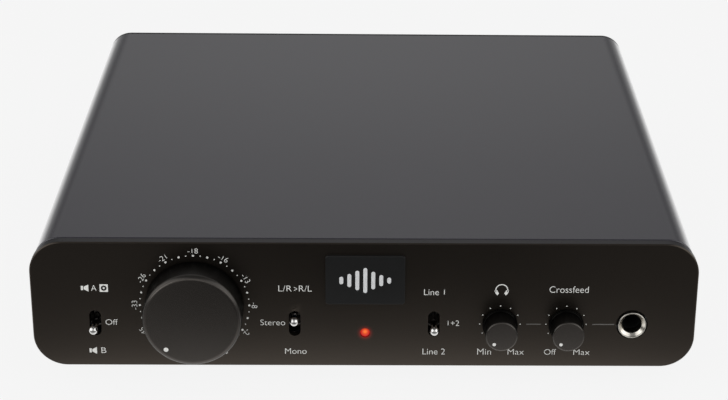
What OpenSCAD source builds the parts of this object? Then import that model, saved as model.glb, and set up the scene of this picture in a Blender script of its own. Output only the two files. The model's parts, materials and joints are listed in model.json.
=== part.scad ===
// Desktop studio monitor controller, in millimetres.
// +Z is up and the front faces -Y. The origin is under the middle of the whole object, at the feet.
// Most modules are drawn in panel coordinates: X across, Y behind the panel's face, Z above its lower edge.

/* [Front panel] */
// Width of the front panel
panel_w = 210; // [205:1:230]
// Height of the front panel
panel_h = 43.1; // [42:0.1:50]
// Thickness of the front panel
panel_t = 3; // [2.6:0.1:4]
// Corner radius of the front panel
panel_r = 10.5; // [8:0.5:13]
// Chamfer around the panel's face
panel_chamfer = 0.5; // [0.2:0.1:0.8]
// Diameter of the panel's fixing screws
panel_screw_d = 2.9; // [2.4:0.1:3.2]

/* [Badge] */
// Width of the raised badge plate
badge_w = 25; // [15:0.5:30]
// Height of the badge plate
badge_h = 16.7; // [10:0.1:18]
// Thickness of the badge plate
badge_t = 1; // [0.8:0.1:2.5]
// Corner radius of the badge plate
badge_r = 1; // [0.5:0.1:3]
// Distance of the badge plate's upper edge below the panel's top edge
badge_drop = 4; // [2.5:0.1:5]

/* [Case] */
// Length of the case sleeve from front to back
sleeve_l = 200; // [190:0.1:260]
// How far the panel stands proud of the sleeve at each side
side_step = 0.8; // [0.4:0.1:2.4]
// How far the panel stands proud of the sleeve at the top and the bottom
top_step = 0.35; // [0.3:0.05:1]
// Outer corner radius of the sleeve
sleeve_r = 8.6; // [7:0.1:11]
// Sheet thickness of the sleeve
sleeve_t = 1.2; // [1:0.1:1.6]
// Shadow gap between the front panel and the sleeve
shadow_gap = 1.4; // [0.2:0.1:2]
// Sheet thickness of the inner tray
tray_t = 1; // [0.8:0.1:1.5]
// Thickness of the rear panel
rear_t = 1.2; // [1:0.1:2]
// Diameter of the rear panel's screws
rear_screw_d = 2.9; // [2.4:0.1:3.2]

/* [Feet] */
// Height of the rubber feet
foot_h = 7; // [5:0.5:12]
// Diameter of the rubber feet
foot_d = 16; // [12:0.5:20]
// Distance of a foot's middle from the sleeve's side and end
foot_inset = 22; // [18:1:30]
// Diameter of the foot screws
foot_screw_d = 2.9; // [2.4:0.1:3.2]

/* [Control places] */
// Height of the lower row of controls above the panel's lower edge
row_z = 15.1; // [13.5:0.1:16]
// Distance of the outermost toggle from the panel's left side
left_inset = 19.8; // [18.5:0.1:22]
// Distance of the headphone socket from the panel's right side
right_inset = 20.2; // [18.5:0.1:22]
// Distance between neighbouring controls left of the middle
left_pitch = 31.45; // [28:0.05:32]
// Distance between neighbouring controls right of the middle
right_pitch = 21; // [19.5:0.05:22]
// Height of the volume knob's axis above the panel's lower edge
volume_z = 21.4; // [19.5:0.1:22]
// Height of the power light above the panel's lower edge
light_z = 11.8; // [10:0.1:16]

/* [Knobs] */
// Diameter of the volume knob
volume_knob_d = 31; // [26:0.5:32]
// How far the volume knob's face stands in front of the panel
volume_reach = 11.5; // [9:0.1:14]
// Diameter of the small knobs
small_knob_d = 10.2; // [9.8:0.1:12]
// How far the small knobs' faces stand in front of the panel
small_reach = 9; // [8:0.1:12]
// Air gap between a knob and the panel
knob_gap = 0.8; // [0.5:0.1:1.5]
// Radius of the rounded edge of the volume knob's face
volume_round = 1.6; // [0.6:0.1:2.4]
// Radius of the rounded edge of the small knobs' faces
small_round = 0.7; // [0.4:0.1:1]
// Diameter of the volume knob's pointer dot
volume_dot_d = 1.6; // [1:0.1:2.5]
// Diameter of the small knobs' pointer dots
small_dot_d = 1.2; // [0.8:0.1:1.6]
// Diameter of the potentiometer shafts
shaft_d = 6; // [5:0.1:6.2]
// Full turn of a knob from its lower to its upper stop
knob_travel = 280; // [240:5:300]

/* [Toggle switches] */
// Width of a toggle slot in the panel
slot_w = 3.7; // [3.4:0.1:4.2]
// Height of a toggle slot in the panel
slot_h = 8.8; // [8.4:0.1:9.4]
// Distance of the lever's pivot behind the panel's face
pivot_depth = 9.3; // [9:0.1:10]
// Distance from the lever's pivot to the middle of its round tip
lever_l = 14.4; // [13:0.1:15]
// Diameter of the lever's round tip
lever_tip_d = 2.9; // [2.4:0.1:3]
// Tilt of a lever each way from its middle
lever_tilt = 12; // [10:0.5:15]

/* [Sockets] */
// Diameter of the bore for a 6.35 mm plug
plug_bore_d = 6.5; // [6.4:0.05:6.6]
// Length of a 6.35 mm socket's body
socket_l = 26; // [24:0.5:28]
// Width and height of a 6.35 mm socket's body
socket_w = 15; // [13:0.5:15.5]
// Outer diameter of a socket's threaded nose
nose_d = 9.3; // [8.6:0.1:9.8]
// Number of 6.35 mm sockets on the rear panel
rear_sockets = 7; // [4:1:7]
// Outer diameter of a phono socket's shell
phono_d = 8.3; // [8:0.05:8.6]
// Distance between the columns of phono sockets
phono_pitch_x = 16; // [14:0.5:17]
// Distance between the rows of phono sockets
phono_pitch_z = 14; // [12.5:0.5:15]
// How far a phono shell stands out of the rear panel
phono_reach = 9; // [8:0.5:11]
// Diameter of the power inlet's bore
inlet_d = 5.7; // [5.5:0.1:6.5]

/* [Boards] */
// Thickness of the circuit boards
board_t = 1.6; // [1:0.1:2]
// Distance of the control board's face behind the panel's face
control_board_y = 21; // [20:0.5:23]
// Height of the standoffs under the main board
standoff_h = 6; // [4:0.5:7]
// Diameter of the large filter capacitors
large_cap_d = 14; // [10:0.5:16]
// Height of the large filter capacitors
large_cap_h = 20; // [12:0.5:25]
// Diameter of the small filter capacitors
small_cap_d = 8; // [5:0.5:10]
// Height of the small filter capacitors
small_cap_h = 11; // [7:0.5:20]
// Height of the relays
relay_h = 10; // [6:0.5:16]
// Height of the heat sink
sink_h = 22; // [12:0.5:25]

/* [Hidden] */
$fn = 64;

// Clearances
fit = 0.3;
run = 0.05;
hole_play = 0.15;

// Sleeve and the room inside it
mid_z = panel_h / 2;
sleeve_w = panel_w - 2 * side_step;
sleeve_h = panel_h - 2 * top_step;
inner_w = sleeve_w - 2 * sleeve_t;
inner_h = sleeve_h - 2 * sleeve_t;
inner_r = sleeve_r - sleeve_t;
inner_z0 = mid_z - inner_h / 2;
sleeve_y = panel_t + shadow_gap;
rear_in_y = sleeve_y + sleeve_l;
rear_out_y = rear_in_y + rear_t;
badge_z = panel_h - badge_drop - badge_h / 2;

// Controls from left to right, measured from the middle
speaker_x = left_inset - panel_w / 2;
volume_x = speaker_x + left_pitch;
mode_x = volume_x + left_pitch;
socket_x = panel_w / 2 - right_inset;
crossfeed_x = socket_x - right_pitch;
headphone_x = crossfeed_x - right_pitch;
source_x = headphone_x - right_pitch;
toggle_x = [speaker_x, mode_x, source_x];

// Whole object: the knob reaches furthest forwards and the phono shells furthest back
total_l = volume_reach + rear_out_y + phono_reach;
panel_front_y = volume_reach - total_l / 2;
panel_bottom_z = foot_h - top_step;

// Tray
wall_y = panel_t + tray_t;
tray_top_z = inner_z0 + tray_t;
tray_w = inner_w - 2 * inner_r;
tray_side_h = 5;
ear_w = 9;
screw_head_r = 2.75;
screw_head_h = 1.6;
panel_screw_x = inner_w / 2 - 5.7;
panel_screw_z = 11;
rear_screw_x = inner_w / 2 - 4.7;
rear_screw_z = 11;
foot_x = sleeve_w / 2 - foot_inset;
foot_y = [sleeve_y + foot_inset, rear_in_y - foot_inset];
foot_nut_h = 2.4;
foot_recess = 3.4;
// From the recess in the foot to just past the nut
foot_screw_l = foot_h - top_step - foot_recess + tray_top_z + foot_nut_h + 0.5;

// Potentiometers
volume_pot_w = 27;
volume_bush_r = 4.5;
volume_nut_r = 6.9;
small_pot_w = 12;
small_bush_r = shaft_d / 2 + 0.5;
small_nut_r = small_bush_r + 2.2;
nut_h = 1.7;
nut_recess = 2;
shaft_end_y = wall_y + 6;
rest_turn = -knob_travel / 2;
knob_face_t = 2;
volume_bore_l = volume_reach - knob_gap - knob_face_t;
small_bore_l = small_reach - knob_gap - knob_face_t;
dot_depth = 0.4;
dot_margin = 0.3;
volume_dot_r = volume_knob_d / 2 - volume_round - volume_dot_d / 2 - dot_margin;
small_dot_r = small_knob_d / 2 - small_round - small_dot_d / 2 - dot_margin;

// Toggles
bush_y = wall_y + 0.4;
bush_r = 3.175;
bush_bore_r = 1.95;
bush_mouth_r = 2.6;
switch_y = pivot_depth + 2.1;
switch_w = 6.9;
switch_h = 12.7;
switch_cavity = [3, 3.6, 5.2];
lever_waist_r = 0.95;
lever_stem_r = 0.85;
lever_tail = 3.2;

// Light
light_r = 1.5;
light_flange_r = 1.9;
light_proud = 0.6;
light_back_y = 4.4;

// Main board and what stands on it
board_z = tray_top_z + standoff_h;
board_top_z = board_z + board_t;
board_w = tray_w - 2 * tray_t - 2;
main_y0 = wall_y + socket_l + 3;
main_y1 = rear_in_y - tray_t - 0.5;
standoff_inset = 5;
standoff_front = 6;
standoff_back = 45;
standoff_x = board_w / 2 - standoff_inset;
standoff_y = [main_y0 + standoff_front, main_y1 - standoff_back];
standoff_r = 3.1;
standoff_thread = 3;
board_screw_r = 1.45;
board_hole_r = 1.6;
header_w = 40;
header_h = 3;
header_lap = 5;
large_cap_inset = 16;
large_cap_x = large_cap_inset - board_w / 2;
large_cap_y = 34;
large_cap_pitch = 18;
small_cap_x = -4;
small_cap_y = 58;
small_cap_pitch = 13;
chip_w = 6.4;
chip_l = 9.8;
chip_h = 3.4;
chip_x = 10;
chip_y = 22;
chip_pitch = 15;
chip_row_pitch = 50;
relay_w = 10;
relay_l = 15;
relay_x = -66;
relay_back = 62;
relay_y = main_y1 - main_y0 - relay_back;
relay_pitch = 22;
regulator_w = 10;
regulator_t = 4.5;
regulator_h = 16;
regulator_inset = 14;
regulator_x = regulator_inset - board_w / 2;
regulator_y = 58;
regulator_pitch = 14;
sink_w = 46;
sink_plate_t = 2;
sink_fin_t = 2;
sink_fin_l = 8;
sink_fins = 9;
sink_margin = 4;

// Rear connectors
phono_side = 6.5;
phono_z = board_top_z + 5.6;
phono_block_w = phono_pitch_x + 2 * phono_side;
phono_block_l = 13;
phono_block_h = phono_z - board_top_z + phono_pitch_z + phono_side;
phono_root_d = phono_d - 0.6;
phono_wall = 0.7;
phono_deep = 8;
phono_contact_r = 1.65;
phono_collar_reach = 1;
phono_collar_r = phono_d / 2 + 1;
nose_reach = 4;
ring_reach = 0.8;
socket_z = board_top_z + socket_w / 2;
socket_nut_r = nose_d / 2 + 1.95;
socket_nut_h = 2.2;
inlet_nose_r = inlet_d / 2 + 1.4;
inlet_l = 14;
inlet_deep = 9;
inlet_pin_r = 1.05;
inlet_w = 11;
inlet_z = board_top_z + inlet_w / 2;

// Power switch
bezel_w = 15;
bezel_h = 21;
bezel_t = 1.6;
frame_w = 12.8;
frame_h = 18.8;
frame_l = 13;
frame_lift = 1.6;
power_z = board_top_z + frame_lift + frame_h / 2;
rocker_w = 9.4;
rocker_r = 7.8;
rocker_tilt = 8;
rocker_pivot_y = rear_out_y - 1.6;
rocker_crest = 2.9;
rocker_back = 1.6;
rocker_pin_r = 1;
rocker_pin_l = 0.9;

// Rear connectors stand between the tray's ears with an even gap, the power switch first
rear_connectors_w = bezel_w + inlet_w + rear_sockets * socket_w + phono_block_w;
rear_gap = (inner_w - 2 * ear_w - rear_connectors_w) / (rear_sockets + 4);
rear_pitch = socket_w + rear_gap;
power_x = ear_w + rear_gap + bezel_w / 2 - inner_w / 2;
inlet_x = power_x + bezel_w / 2 + rear_gap + inlet_w / 2;
first_socket_x = inlet_x + inlet_w / 2 + rear_gap + socket_w / 2;
last_socket_x = first_socket_x + (rear_sockets - 1) * rear_pitch;
phono_x = last_socket_x + socket_w / 2 + rear_gap + phono_side;

// ---------- helpers ----------

// Puts panel coordinates into the whole object's frame
module at_panel() {
    translate([0, panel_front_y, panel_bottom_z])
        children();
}

// A flat shape in X and Z, drawn out along +Y
module y_extrude(depth) {
    translate([0, depth, 0])
        rotate([90, 0, 0])
            linear_extrude(depth)
                children();
}

// A round bar or bore along Y
module y_rod(r, y0, y1) {
    translate([0, y0, 0])
        rotate([-90, 0, 0])
            cylinder(r = r, h = y1 - y0);
}

// Turns an outline of [radius, y] points about the Y axis
module y_turn() {
    rotate([-90, 0, 0])
        rotate_extrude()
            children();
}

module rounded_rect(w, h, r) {
    square([w - 2 * r, h], center = true);
    square([w, h - 2 * r], center = true);
    for (sx = [-1, 1], sz = [-1, 1])
        translate([sx * (w / 2 - r), sz * (h / 2 - r)])
            circle(r = r);
}

// An upright slot with round ends
module slot_outline(w, h) {
    square([w, h - w], center = true);
    for (s = [-1, 1])
        translate([0, s * (h - w) / 2])
            circle(r = w / 2);
}

// A rounded plate along +Y whose front edge is chamfered all round
module chamfered_plate(w, h, r, t, c) {
    translate([0, c, 0])
        y_extrude(t - c)
            rounded_rect(w, h, r);
    for (sx = [-1, 1], sz = [-1, 1])
        translate([sx * (w / 2 - r), 0, sz * (h / 2 - r)])
            rotate([-90, 0, 0])
                cylinder(r1 = r - c, r2 = r, h = c);
    rotate([90, 0, 90])
        linear_extrude(w - 2 * r, center = true)
            polygon([[0, c - h / 2], [0, h / 2 - c], [c, h / 2], [c, -h / 2]]);
    linear_extrude(h - 2 * r, center = true)
        polygon([[c - w / 2, 0], [w / 2 - c, 0], [w / 2, c], [-w / 2, c]]);
}

module at(x, z) {
    translate([x, 0, z])
        children();
}

module at_corners(x, z) {
    for (sx = [-1, 1], sz = [-1, 1])
        at(sx * x, mid_z + sz * z)
            children();
}

module at_feet() {
    for (sx = [-1, 1], y = foot_y)
        translate([sx * foot_x, y, 0])
            children();
}

module hex(r, y0, y1) {
    translate([0, y0, 0])
        rotate([-90, 0, 0])
            cylinder(r = r, h = y1 - y0, $fn = 6);
}

// ---------- case ----------

module case_sleeve() {
    color([0.2, 0.2, 0.21])
        at_panel()
            difference() {
                at(0, mid_z)
                    translate([0, sleeve_y, 0])
                        y_extrude(sleeve_l)
                            difference() {
                                rounded_rect(sleeve_w, sleeve_h, sleeve_r);
                                rounded_rect(inner_w, inner_h, inner_r);
                            }
                at_feet()
                    cylinder(r = foot_screw_d / 2 + hole_play, h = inner_z0 + fit);
            }
}

module front_panel() {
    color([0.1, 0.09, 0.08])
        at_panel()
            difference() {
                at(0, mid_z)
                    chamfered_plate(panel_w, panel_h, panel_r, panel_t, panel_chamfer);
                pot_holes(volume_x, volume_z, shaft_d / 2 + fit, volume_nut_r + 0.5);
                pot_holes(headphone_x, row_z, shaft_d / 2 + fit, small_nut_r + 0.4);
                pot_holes(crossfeed_x, row_z, shaft_d / 2 + fit, small_nut_r + 0.4);
                for (x = toggle_x)
                    at(x, row_z)
                        translate([0, -1, 0])
                            y_extrude(panel_t + 2)
                                slot_outline(slot_w, slot_h);
                at(socket_x, row_z)
                    y_rod(nose_d / 2 + 0.4, -1, panel_t + 1);
                at(0, light_z)
                    y_rod(light_r + 0.1, -1, panel_t + 1);
                at(0, light_z)
                    y_rod(light_flange_r + 0.2, panel_t - 1, panel_t + 1);
                at_corners(panel_screw_x, panel_screw_z)
                    y_rod(panel_screw_d / 2 + run, 1, panel_t + 1);
            }
}

// Shaft hole through the panel and the nut's recess in its back
module pot_holes(x, z, hole_r, recess_r) {
    at(x, z) {
        y_rod(hole_r, -1, panel_t + 1);
        y_rod(recess_r, panel_t - nut_recess, panel_t + 1);
    }
}

module chassis_tray() {
    color([0.6, 0.6, 0.62])
        at_panel() {
            difference() {
                union() {
                    tray_front_wall();
                    tray_floor();
                    tray_rear_flange();
                }
                at_feet()
                    cylinder(r = foot_screw_d / 2 + hole_play, h = board_z);
            }
        }
}

module tray_outline() {
    rounded_rect(inner_w - 2 * fit, inner_h - 2 * fit, inner_r - fit);
}

module tray_front_wall() {
    difference() {
        at(0, mid_z)
            translate([0, panel_t, 0])
                y_extrude(tray_t)
                    tray_outline();
        at(volume_x, volume_z)
            y_rod(volume_bush_r + hole_play, 0, wall_y + 1);
        for (x = [headphone_x, crossfeed_x])
            at(x, row_z)
                y_rod(small_bush_r + hole_play, 0, wall_y + 1);
        for (x = toggle_x)
            at(x, row_z)
                y_rod(slot_h / 2 + 0.1, 0, wall_y + 1);
        at(socket_x, row_z)
            y_rod(nose_d / 2 + hole_play, 0, wall_y + 1);
        at(0, light_z)
            y_rod(light_flange_r + 0.2, 0, wall_y + 1);
        at_corners(panel_screw_x, panel_screw_z)
            y_rod(panel_screw_d / 2 + hole_play, 0, wall_y + 1);
    }
}

module tray_floor() {
    translate([-tray_w / 2, panel_t, inner_z0])
        cube([tray_w, rear_in_y - panel_t, tray_t]);
    for (s = [-1, 1])
        translate([s * (tray_w - tray_t) / 2 - tray_t / 2, main_y0, inner_z0])
            cube([tray_t, rear_in_y - main_y0, tray_side_h]);
}

// A low strip along the back and an upright ear at each side, which take the rear screws
module tray_rear_flange() {
    strip_h = board_z - fit - inner_z0;
    difference() {
        at(0, mid_z)
            translate([0, rear_in_y - tray_t, 0])
                y_extrude(tray_t)
                    intersection() {
                        tray_outline();
                        union() {
                            translate([-inner_w / 2, -inner_h / 2])
                                square([inner_w, strip_h]);
                            for (s = [-1, 1])
                                translate([s * (inner_w - ear_w) / 2, 0])
                                    square([ear_w, inner_h], center = true);
                        }
                    }
        at_corners(rear_screw_x, rear_screw_z)
            y_rod(rear_screw_d / 2 + run, rear_in_y - tray_t - 1, rear_in_y + 1);
    }
}

module rear_panel() {
    color([0.12, 0.12, 0.12])
        at_panel()
            difference() {
                at(0, mid_z)
                    translate([0, rear_in_y, 0])
                        y_extrude(rear_t)
                            rounded_rect(sleeve_w, sleeve_h, sleeve_r);
                at_rear_sockets()
                    y_rod(nose_d / 2 + hole_play, rear_in_y - 1, rear_out_y + 1);
                at_phonos()
                    y_rod(phono_collar_r + hole_play, rear_in_y - 1, rear_out_y + 1);
                at(inlet_x, inlet_z)
                    y_rod(inlet_nose_r + hole_play, rear_in_y - 1, rear_out_y + 1);
                at(power_x, power_z)
                    translate([0, rear_in_y - 1, 0])
                        y_extrude(rear_t + 2)
                            square([frame_w + 2 * hole_play, frame_h + 2 * hole_play], center = true);
                at_corners(rear_screw_x, rear_screw_z)
                    y_rod(rear_screw_d / 2 + hole_play, rear_in_y - 1, rear_out_y + 1);
            }
}

module badge_plate() {
    color([0.14, 0.15, 0.15])
        at_panel()
            at(0, badge_z)
                translate([0, -badge_t, 0])
                    chamfered_plate(badge_w, badge_h, badge_r, badge_t, 0.2);
}

// Screws from the tray's wall into blind holes in the panel's back
module panel_screws() {
    color("silver")
        at_panel()
            at_corners(panel_screw_x, panel_screw_z) {
                y_rod(panel_screw_d / 2, 1.2, wall_y + 0.2);
                y_rod(screw_head_r, wall_y, wall_y + screw_head_h);
            }
}

module rear_screws() {
    color("silver")
        at_panel()
            at_corners(rear_screw_x, rear_screw_z) {
                y_rod(rear_screw_d / 2, rear_in_y - tray_t - 2, rear_out_y + 0.2);
                difference() {
                    y_rod(screw_head_r, rear_out_y, rear_out_y + screw_head_h);
                    hex(1.15, rear_out_y + 0.6, rear_out_y + screw_head_h + 1);
                }
            }
}

// ---------- feet ----------

module rubber_feet() {
    color([0.07, 0.07, 0.07])
        at_panel()
            at_feet()
                translate([0, 0, top_step - foot_h])
                    difference() {
                        cylinder(r1 = foot_d / 2 - 0.8, r2 = foot_d / 2, h = foot_h);
                        translate([0, 0, -1])
                            cylinder(r = screw_head_r + 0.5, h = foot_recess + 1);
                        cylinder(r = foot_screw_d / 2 + hole_play, h = foot_h + 1);
                    }
}

module foot_screws() {
    color("silver")
        at_panel()
            at_feet()
                translate([0, 0, top_step - foot_h + foot_recess]) {
                    translate([0, 0, -screw_head_h])
                        cylinder(r = screw_head_r, h = screw_head_h);
                    cylinder(r = foot_screw_d / 2, h = foot_screw_l);
                }
}

module foot_nuts() {
    color("silver")
        at_panel()
            at_feet()
                translate([0, 0, tray_top_z])
                    difference() {
                        cylinder(r = foot_screw_d / 2 + 1.7, h = foot_nut_h, $fn = 6);
                        translate([0, 0, -1])
                            cylinder(r = foot_screw_d / 2 + run, h = foot_nut_h + 2);
                    }
}

// ---------- knobs and potentiometers ----------

// A turned knob with a rounded face edge and a blind bore for its shaft
module knob(d, reach, round_r, bore_l) {
    back_y = -knob_gap;
    difference() {
        y_turn() {
            difference() {
                translate([0, -reach])
                    square([d / 2, reach - knob_gap]);
                translate([d / 2 - round_r, -reach])
                    difference() {
                        translate([0, -1])
                            square([round_r + 1, round_r + 1]);
                        translate([0, round_r])
                            circle(r = round_r);
                    }
            }
        }
        y_rod(shaft_d / 2 + run, back_y - bore_l, back_y + 1);
    }
}

// The dot is let into the knob's face, at the angle of the lower stop
module pointer(reach, dot_d, dot_r) {
    rotate([0, rest_turn, 0])
        translate([0, 0, dot_r])
            y_rod(dot_d / 2, -reach, -reach + dot_depth);
}

module dotted_knob(d, reach, round_r, bore_l, dot_d, dot_r) {
    difference() {
        knob(d, reach, round_r, bore_l);
        rotate([0, rest_turn, 0])
            translate([0, 0, dot_r])
                y_rod(dot_d / 2, -reach - 1, -reach + dot_depth);
    }
}

module volume_knob() {
    color([0.13, 0.12, 0.12])
        at_panel()
            at(volume_x, volume_z)
                dotted_knob(volume_knob_d, volume_reach, volume_round, volume_bore_l,
                    volume_dot_d, volume_dot_r);
}

module small_knob(x) {
    color([0.13, 0.12, 0.12])
        at_panel()
            at(x, row_z)
                dotted_knob(small_knob_d, small_reach, small_round, small_bore_l,
                    small_dot_d, small_dot_r);
}

module headphone_knob() {
    small_knob(headphone_x);
}

module crossfeed_knob() {
    small_knob(crossfeed_x);
}

module volume_pointer() {
    color("gainsboro")
        at_panel()
            at(volume_x, volume_z)
                pointer(volume_reach, volume_dot_d, volume_dot_r);
}

module small_pointer(x) {
    color("gainsboro")
        at_panel()
            at(x, row_z)
                pointer(small_reach, small_dot_d, small_dot_r);
}

module headphone_pointer() {
    small_pointer(headphone_x);
}

module crossfeed_pointer() {
    small_pointer(crossfeed_x);
}

// A round shaft from inside the knob to inside the potentiometer
module shaft(x, z, bore_l) {
    color("silver")
        at_panel()
            at(x, z)
                y_rod(shaft_d / 2, 0.1 - knob_gap - bore_l, shaft_end_y);
}

module volume_shaft() {
    shaft(volume_x, volume_z, volume_bore_l);
}

module headphone_shaft() {
    shaft(headphone_x, row_z, small_bore_l);
}

module crossfeed_shaft() {
    shaft(crossfeed_x, row_z, small_bore_l);
}

// Potentiometer: a square body between the tray's wall and the control board, with a threaded bush
module pot(x, z, w, bush) {
    color([0.35, 0.38, 0.4])
        at_panel()
            at(x, z)
                difference() {
                    union() {
                        translate([0, wall_y, 0])
                            y_extrude(control_board_y - wall_y)
                                rounded_rect(w, w, 1.5);
                        y_rod(bush, panel_t - nut_recess + 0.1, wall_y + 1);
                    }
                    y_rod(shaft_d / 2 + run, 0, shaft_end_y + 0.4);
                }
}

module volume_pot() {
    pot(volume_x, volume_z, volume_pot_w, volume_bush_r);
}

module headphone_pot() {
    pot(headphone_x, row_z, small_pot_w, small_bush_r);
}

module crossfeed_pot() {
    pot(crossfeed_x, row_z, small_pot_w, small_bush_r);
}

module pot_nut(x, z, nut_r, bush) {
    color("silver")
        at_panel()
            at(x, z)
                difference() {
                    hex(nut_r, panel_t - nut_h, panel_t);
                    y_rod(bush + run, 0, panel_t + 1);
                }
}

module volume_pot_nut() {
    pot_nut(volume_x, volume_z, volume_nut_r, volume_bush_r);
}

module headphone_pot_nut() {
    pot_nut(headphone_x, row_z, small_nut_r, small_bush_r);
}

module crossfeed_pot_nut() {
    pot_nut(crossfeed_x, row_z, small_nut_r, small_bush_r);
}

// ---------- toggle switches ----------

// Body behind the bushing, hollow where the lever's inner end moves
module switch_body(x) {
    color([0.1, 0.2, 0.5])
        at_panel()
            at(x, row_z)
                difference() {
                    translate([-switch_w / 2, switch_y, -switch_h / 2])
                        cube([switch_w, control_board_y - switch_y, switch_h]);
                    translate([0, switch_y + switch_cavity.y / 2 - 0.5, 0])
                        cube(switch_cavity + [0, 1, 0], center = true);
                }
}

module speaker_switch() {
    switch_body(speaker_x);
}

module mode_switch() {
    switch_body(mode_x);
}

module source_switch() {
    switch_body(source_x);
}

// Each bushing opens in a cone towards the panel's slot
module switch_bushings() {
    color("silver")
        at_panel()
            for (x = toggle_x)
                at(x, row_z)
                    y_turn()
                        polygon([
                            [bush_mouth_r, bush_y], [bush_r, bush_y], [bush_r, switch_y],
                            [bush_bore_r, switch_y], [bush_bore_r, pivot_depth - 0.9]
                        ]);
}

// A lever that turns on a ball in its bushing. tilt is its angle at rest, upwards
module lever(x, tilt) {
    color("gainsboro")
        at_panel()
            at(x, row_z)
                translate([0, pivot_depth, 0])
                    rotate([-tilt, 0, 0]) {
                        y_turn() {
                            polygon([
                                [0, -lever_l], [lever_tip_d / 2 - 0.25, -lever_l],
                                [lever_waist_r, 4 - lever_l], [lever_stem_r, -1],
                                [lever_stem_r, lever_tail], [0, lever_tail]
                            ]);
                        }
                        sphere(r = bush_bore_r - run);
                        translate([0, -lever_l, 0])
                            sphere(r = lever_tip_d / 2);
                    }
}

module speaker_lever() {
    lever(speaker_x, 0);
}

module mode_lever() {
    lever(mode_x, lever_tilt);
}

module source_lever() {
    lever(source_x, 0);
}

// ---------- power light and headphone socket ----------

module power_light() {
    color([0.9, 0.15, 0.1])
        at_panel()
            at(0, light_z) {
                y_turn()
                    difference() {
                        translate([0, light_r - light_proud])
                            circle(r = light_r);
                        translate([-2 * light_r, -2 * light_r])
                            square([2 * light_r, 6 * light_r]);
                    }
                y_rod(light_r, light_r - light_proud, light_back_y);
                y_rod(light_flange_r, light_back_y - 1, light_back_y);
            }
}

module light_holder() {
    color("white")
        at_panel()
            at(0, light_z)
                difference() {
                    y_rod(light_flange_r + 0.5, light_back_y, control_board_y);
                    y_rod(1, light_back_y - 1, control_board_y + 1);
                }
}

// Body of the headphone socket, held behind the tray's wall by its nose
module headphone_socket() {
    color([0.08, 0.08, 0.08])
        at_panel()
            at(socket_x, row_z)
                difference() {
                    translate([0, wall_y, 0])
                        y_extrude(socket_l)
                            rounded_rect(socket_w, socket_w - 1, 1);
                    y_rod(plug_bore_d / 2, wall_y - 1, wall_y + socket_l - 1);
                }
}

module headphone_ring() {
    color("silver")
        at_panel()
            at(socket_x, row_z)
                y_turn()
                    polygon([
                        [plug_bore_d / 2 + 0.3, -ring_reach], [nose_d / 2 - 0.3, -ring_reach],
                        [nose_d / 2, 0.3 - ring_reach], [nose_d / 2, wall_y],
                        [plug_bore_d / 2, wall_y], [plug_bore_d / 2, 0.3 - ring_reach]
                    ]);
}

// ---------- boards ----------

module control_board() {
    board_x0 = speaker_x - switch_w / 2 - 4;
    board_x1 = socket_x - socket_w / 2 - 1.5;
    low_z = inner_z0 + tray_t + 2;
    color([0.05, 0.3, 0.15])
        at_panel()
            translate([board_x0, control_board_y, low_z])
                cube([board_x1 - board_x0, board_t, inner_z0 + inner_h - 2 - low_z]);
}

module main_board() {
    color([0.05, 0.3, 0.15])
        at_panel()
            difference() {
                translate([-board_w / 2, main_y0, board_z])
                    cube([board_w, main_y1 - main_y0, board_t]);
                at_standoffs()
                    translate([0, 0, board_z - 1])
                        cylinder(r = board_hole_r, h = board_t + 2);
            }
}

module at_standoffs() {
    for (sx = [-1, 1], y = standoff_y)
        translate([sx * standoff_x, y, 0])
            children();
}

module board_standoffs() {
    color("silver")
        at_panel()
            at_standoffs()
                difference() {
                    translate([0, 0, tray_top_z])
                        cylinder(r = standoff_r, h = standoff_h, $fn = 6);
                    translate([0, 0, board_z - standoff_thread])
                        cylinder(r = board_screw_r + run, h = standoff_thread + 1);
                }
}

module board_screws() {
    color("silver")
        at_panel()
            at_standoffs() {
                translate([0, 0, board_z - standoff_thread + fit])
                    cylinder(r = board_screw_r, h = standoff_thread + board_t);
                translate([0, 0, board_top_z])
                    cylinder(r = screw_head_r, h = screw_head_h);
            }
}

// Places a piece on the main board, x from its middle and y from its front edge
module on_board(x, y) {
    translate([x, main_y0 + y, board_top_z])
        children();
}

// Right-angle header that joins the control board to the main board
module board_header() {
    header_y0 = control_board_y + board_t;
    color([0.85, 0.8, 0.6])
        at_panel()
            translate([-header_w / 2, header_y0, board_top_z])
                cube([header_w, main_y0 + header_lap - header_y0, header_h]);
}

module filter_capacitors() {
    color([0.1, 0.1, 0.3])
        at_panel() {
            for (i = [0 : 2])
                on_board(large_cap_x + large_cap_pitch * i, large_cap_y)
                    cylinder(d = large_cap_d, h = large_cap_h);
            for (i = [0 : 5])
                on_board(small_cap_x + small_cap_pitch * i, small_cap_y)
                    cylinder(d = small_cap_d, h = small_cap_h);
        }
}

module amplifier_chips() {
    color([0.1, 0.1, 0.1])
        at_panel()
            for (i = [0 : 4], j = [0, 1])
                on_board(chip_x + chip_pitch * i, chip_y + chip_row_pitch * j)
                    cube([chip_w, chip_l, chip_h]);
}

module relays() {
    color([0.9, 0.9, 0.88])
        at_panel()
            for (i = [0 : 3])
                on_board(relay_x + relay_pitch * i, relay_y)
                    cube([relay_w, relay_l, relay_h]);
}

module regulators() {
    color([0.12, 0.12, 0.12])
        at_panel()
            for (i = [0 : 2])
                on_board(regulator_x + regulator_pitch * i, regulator_y)
                    cube([regulator_w, regulator_t, regulator_h]);
}

// Fins on a back plate that the regulators are clamped to
module heat_sink() {
    fin_pitch = (sink_w - sink_fin_t) / (sink_fins - 1);
    color([0.25, 0.25, 0.25])
        at_panel()
            on_board(regulator_x - sink_margin, regulator_y + regulator_t) {
                cube([sink_w, sink_plate_t, sink_h]);
                for (i = [0 : sink_fins - 1])
                    translate([fin_pitch * i, sink_plate_t, 0])
                        cube([sink_fin_t, sink_fin_l, sink_h]);
            }
}

// ---------- rear connectors ----------

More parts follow.
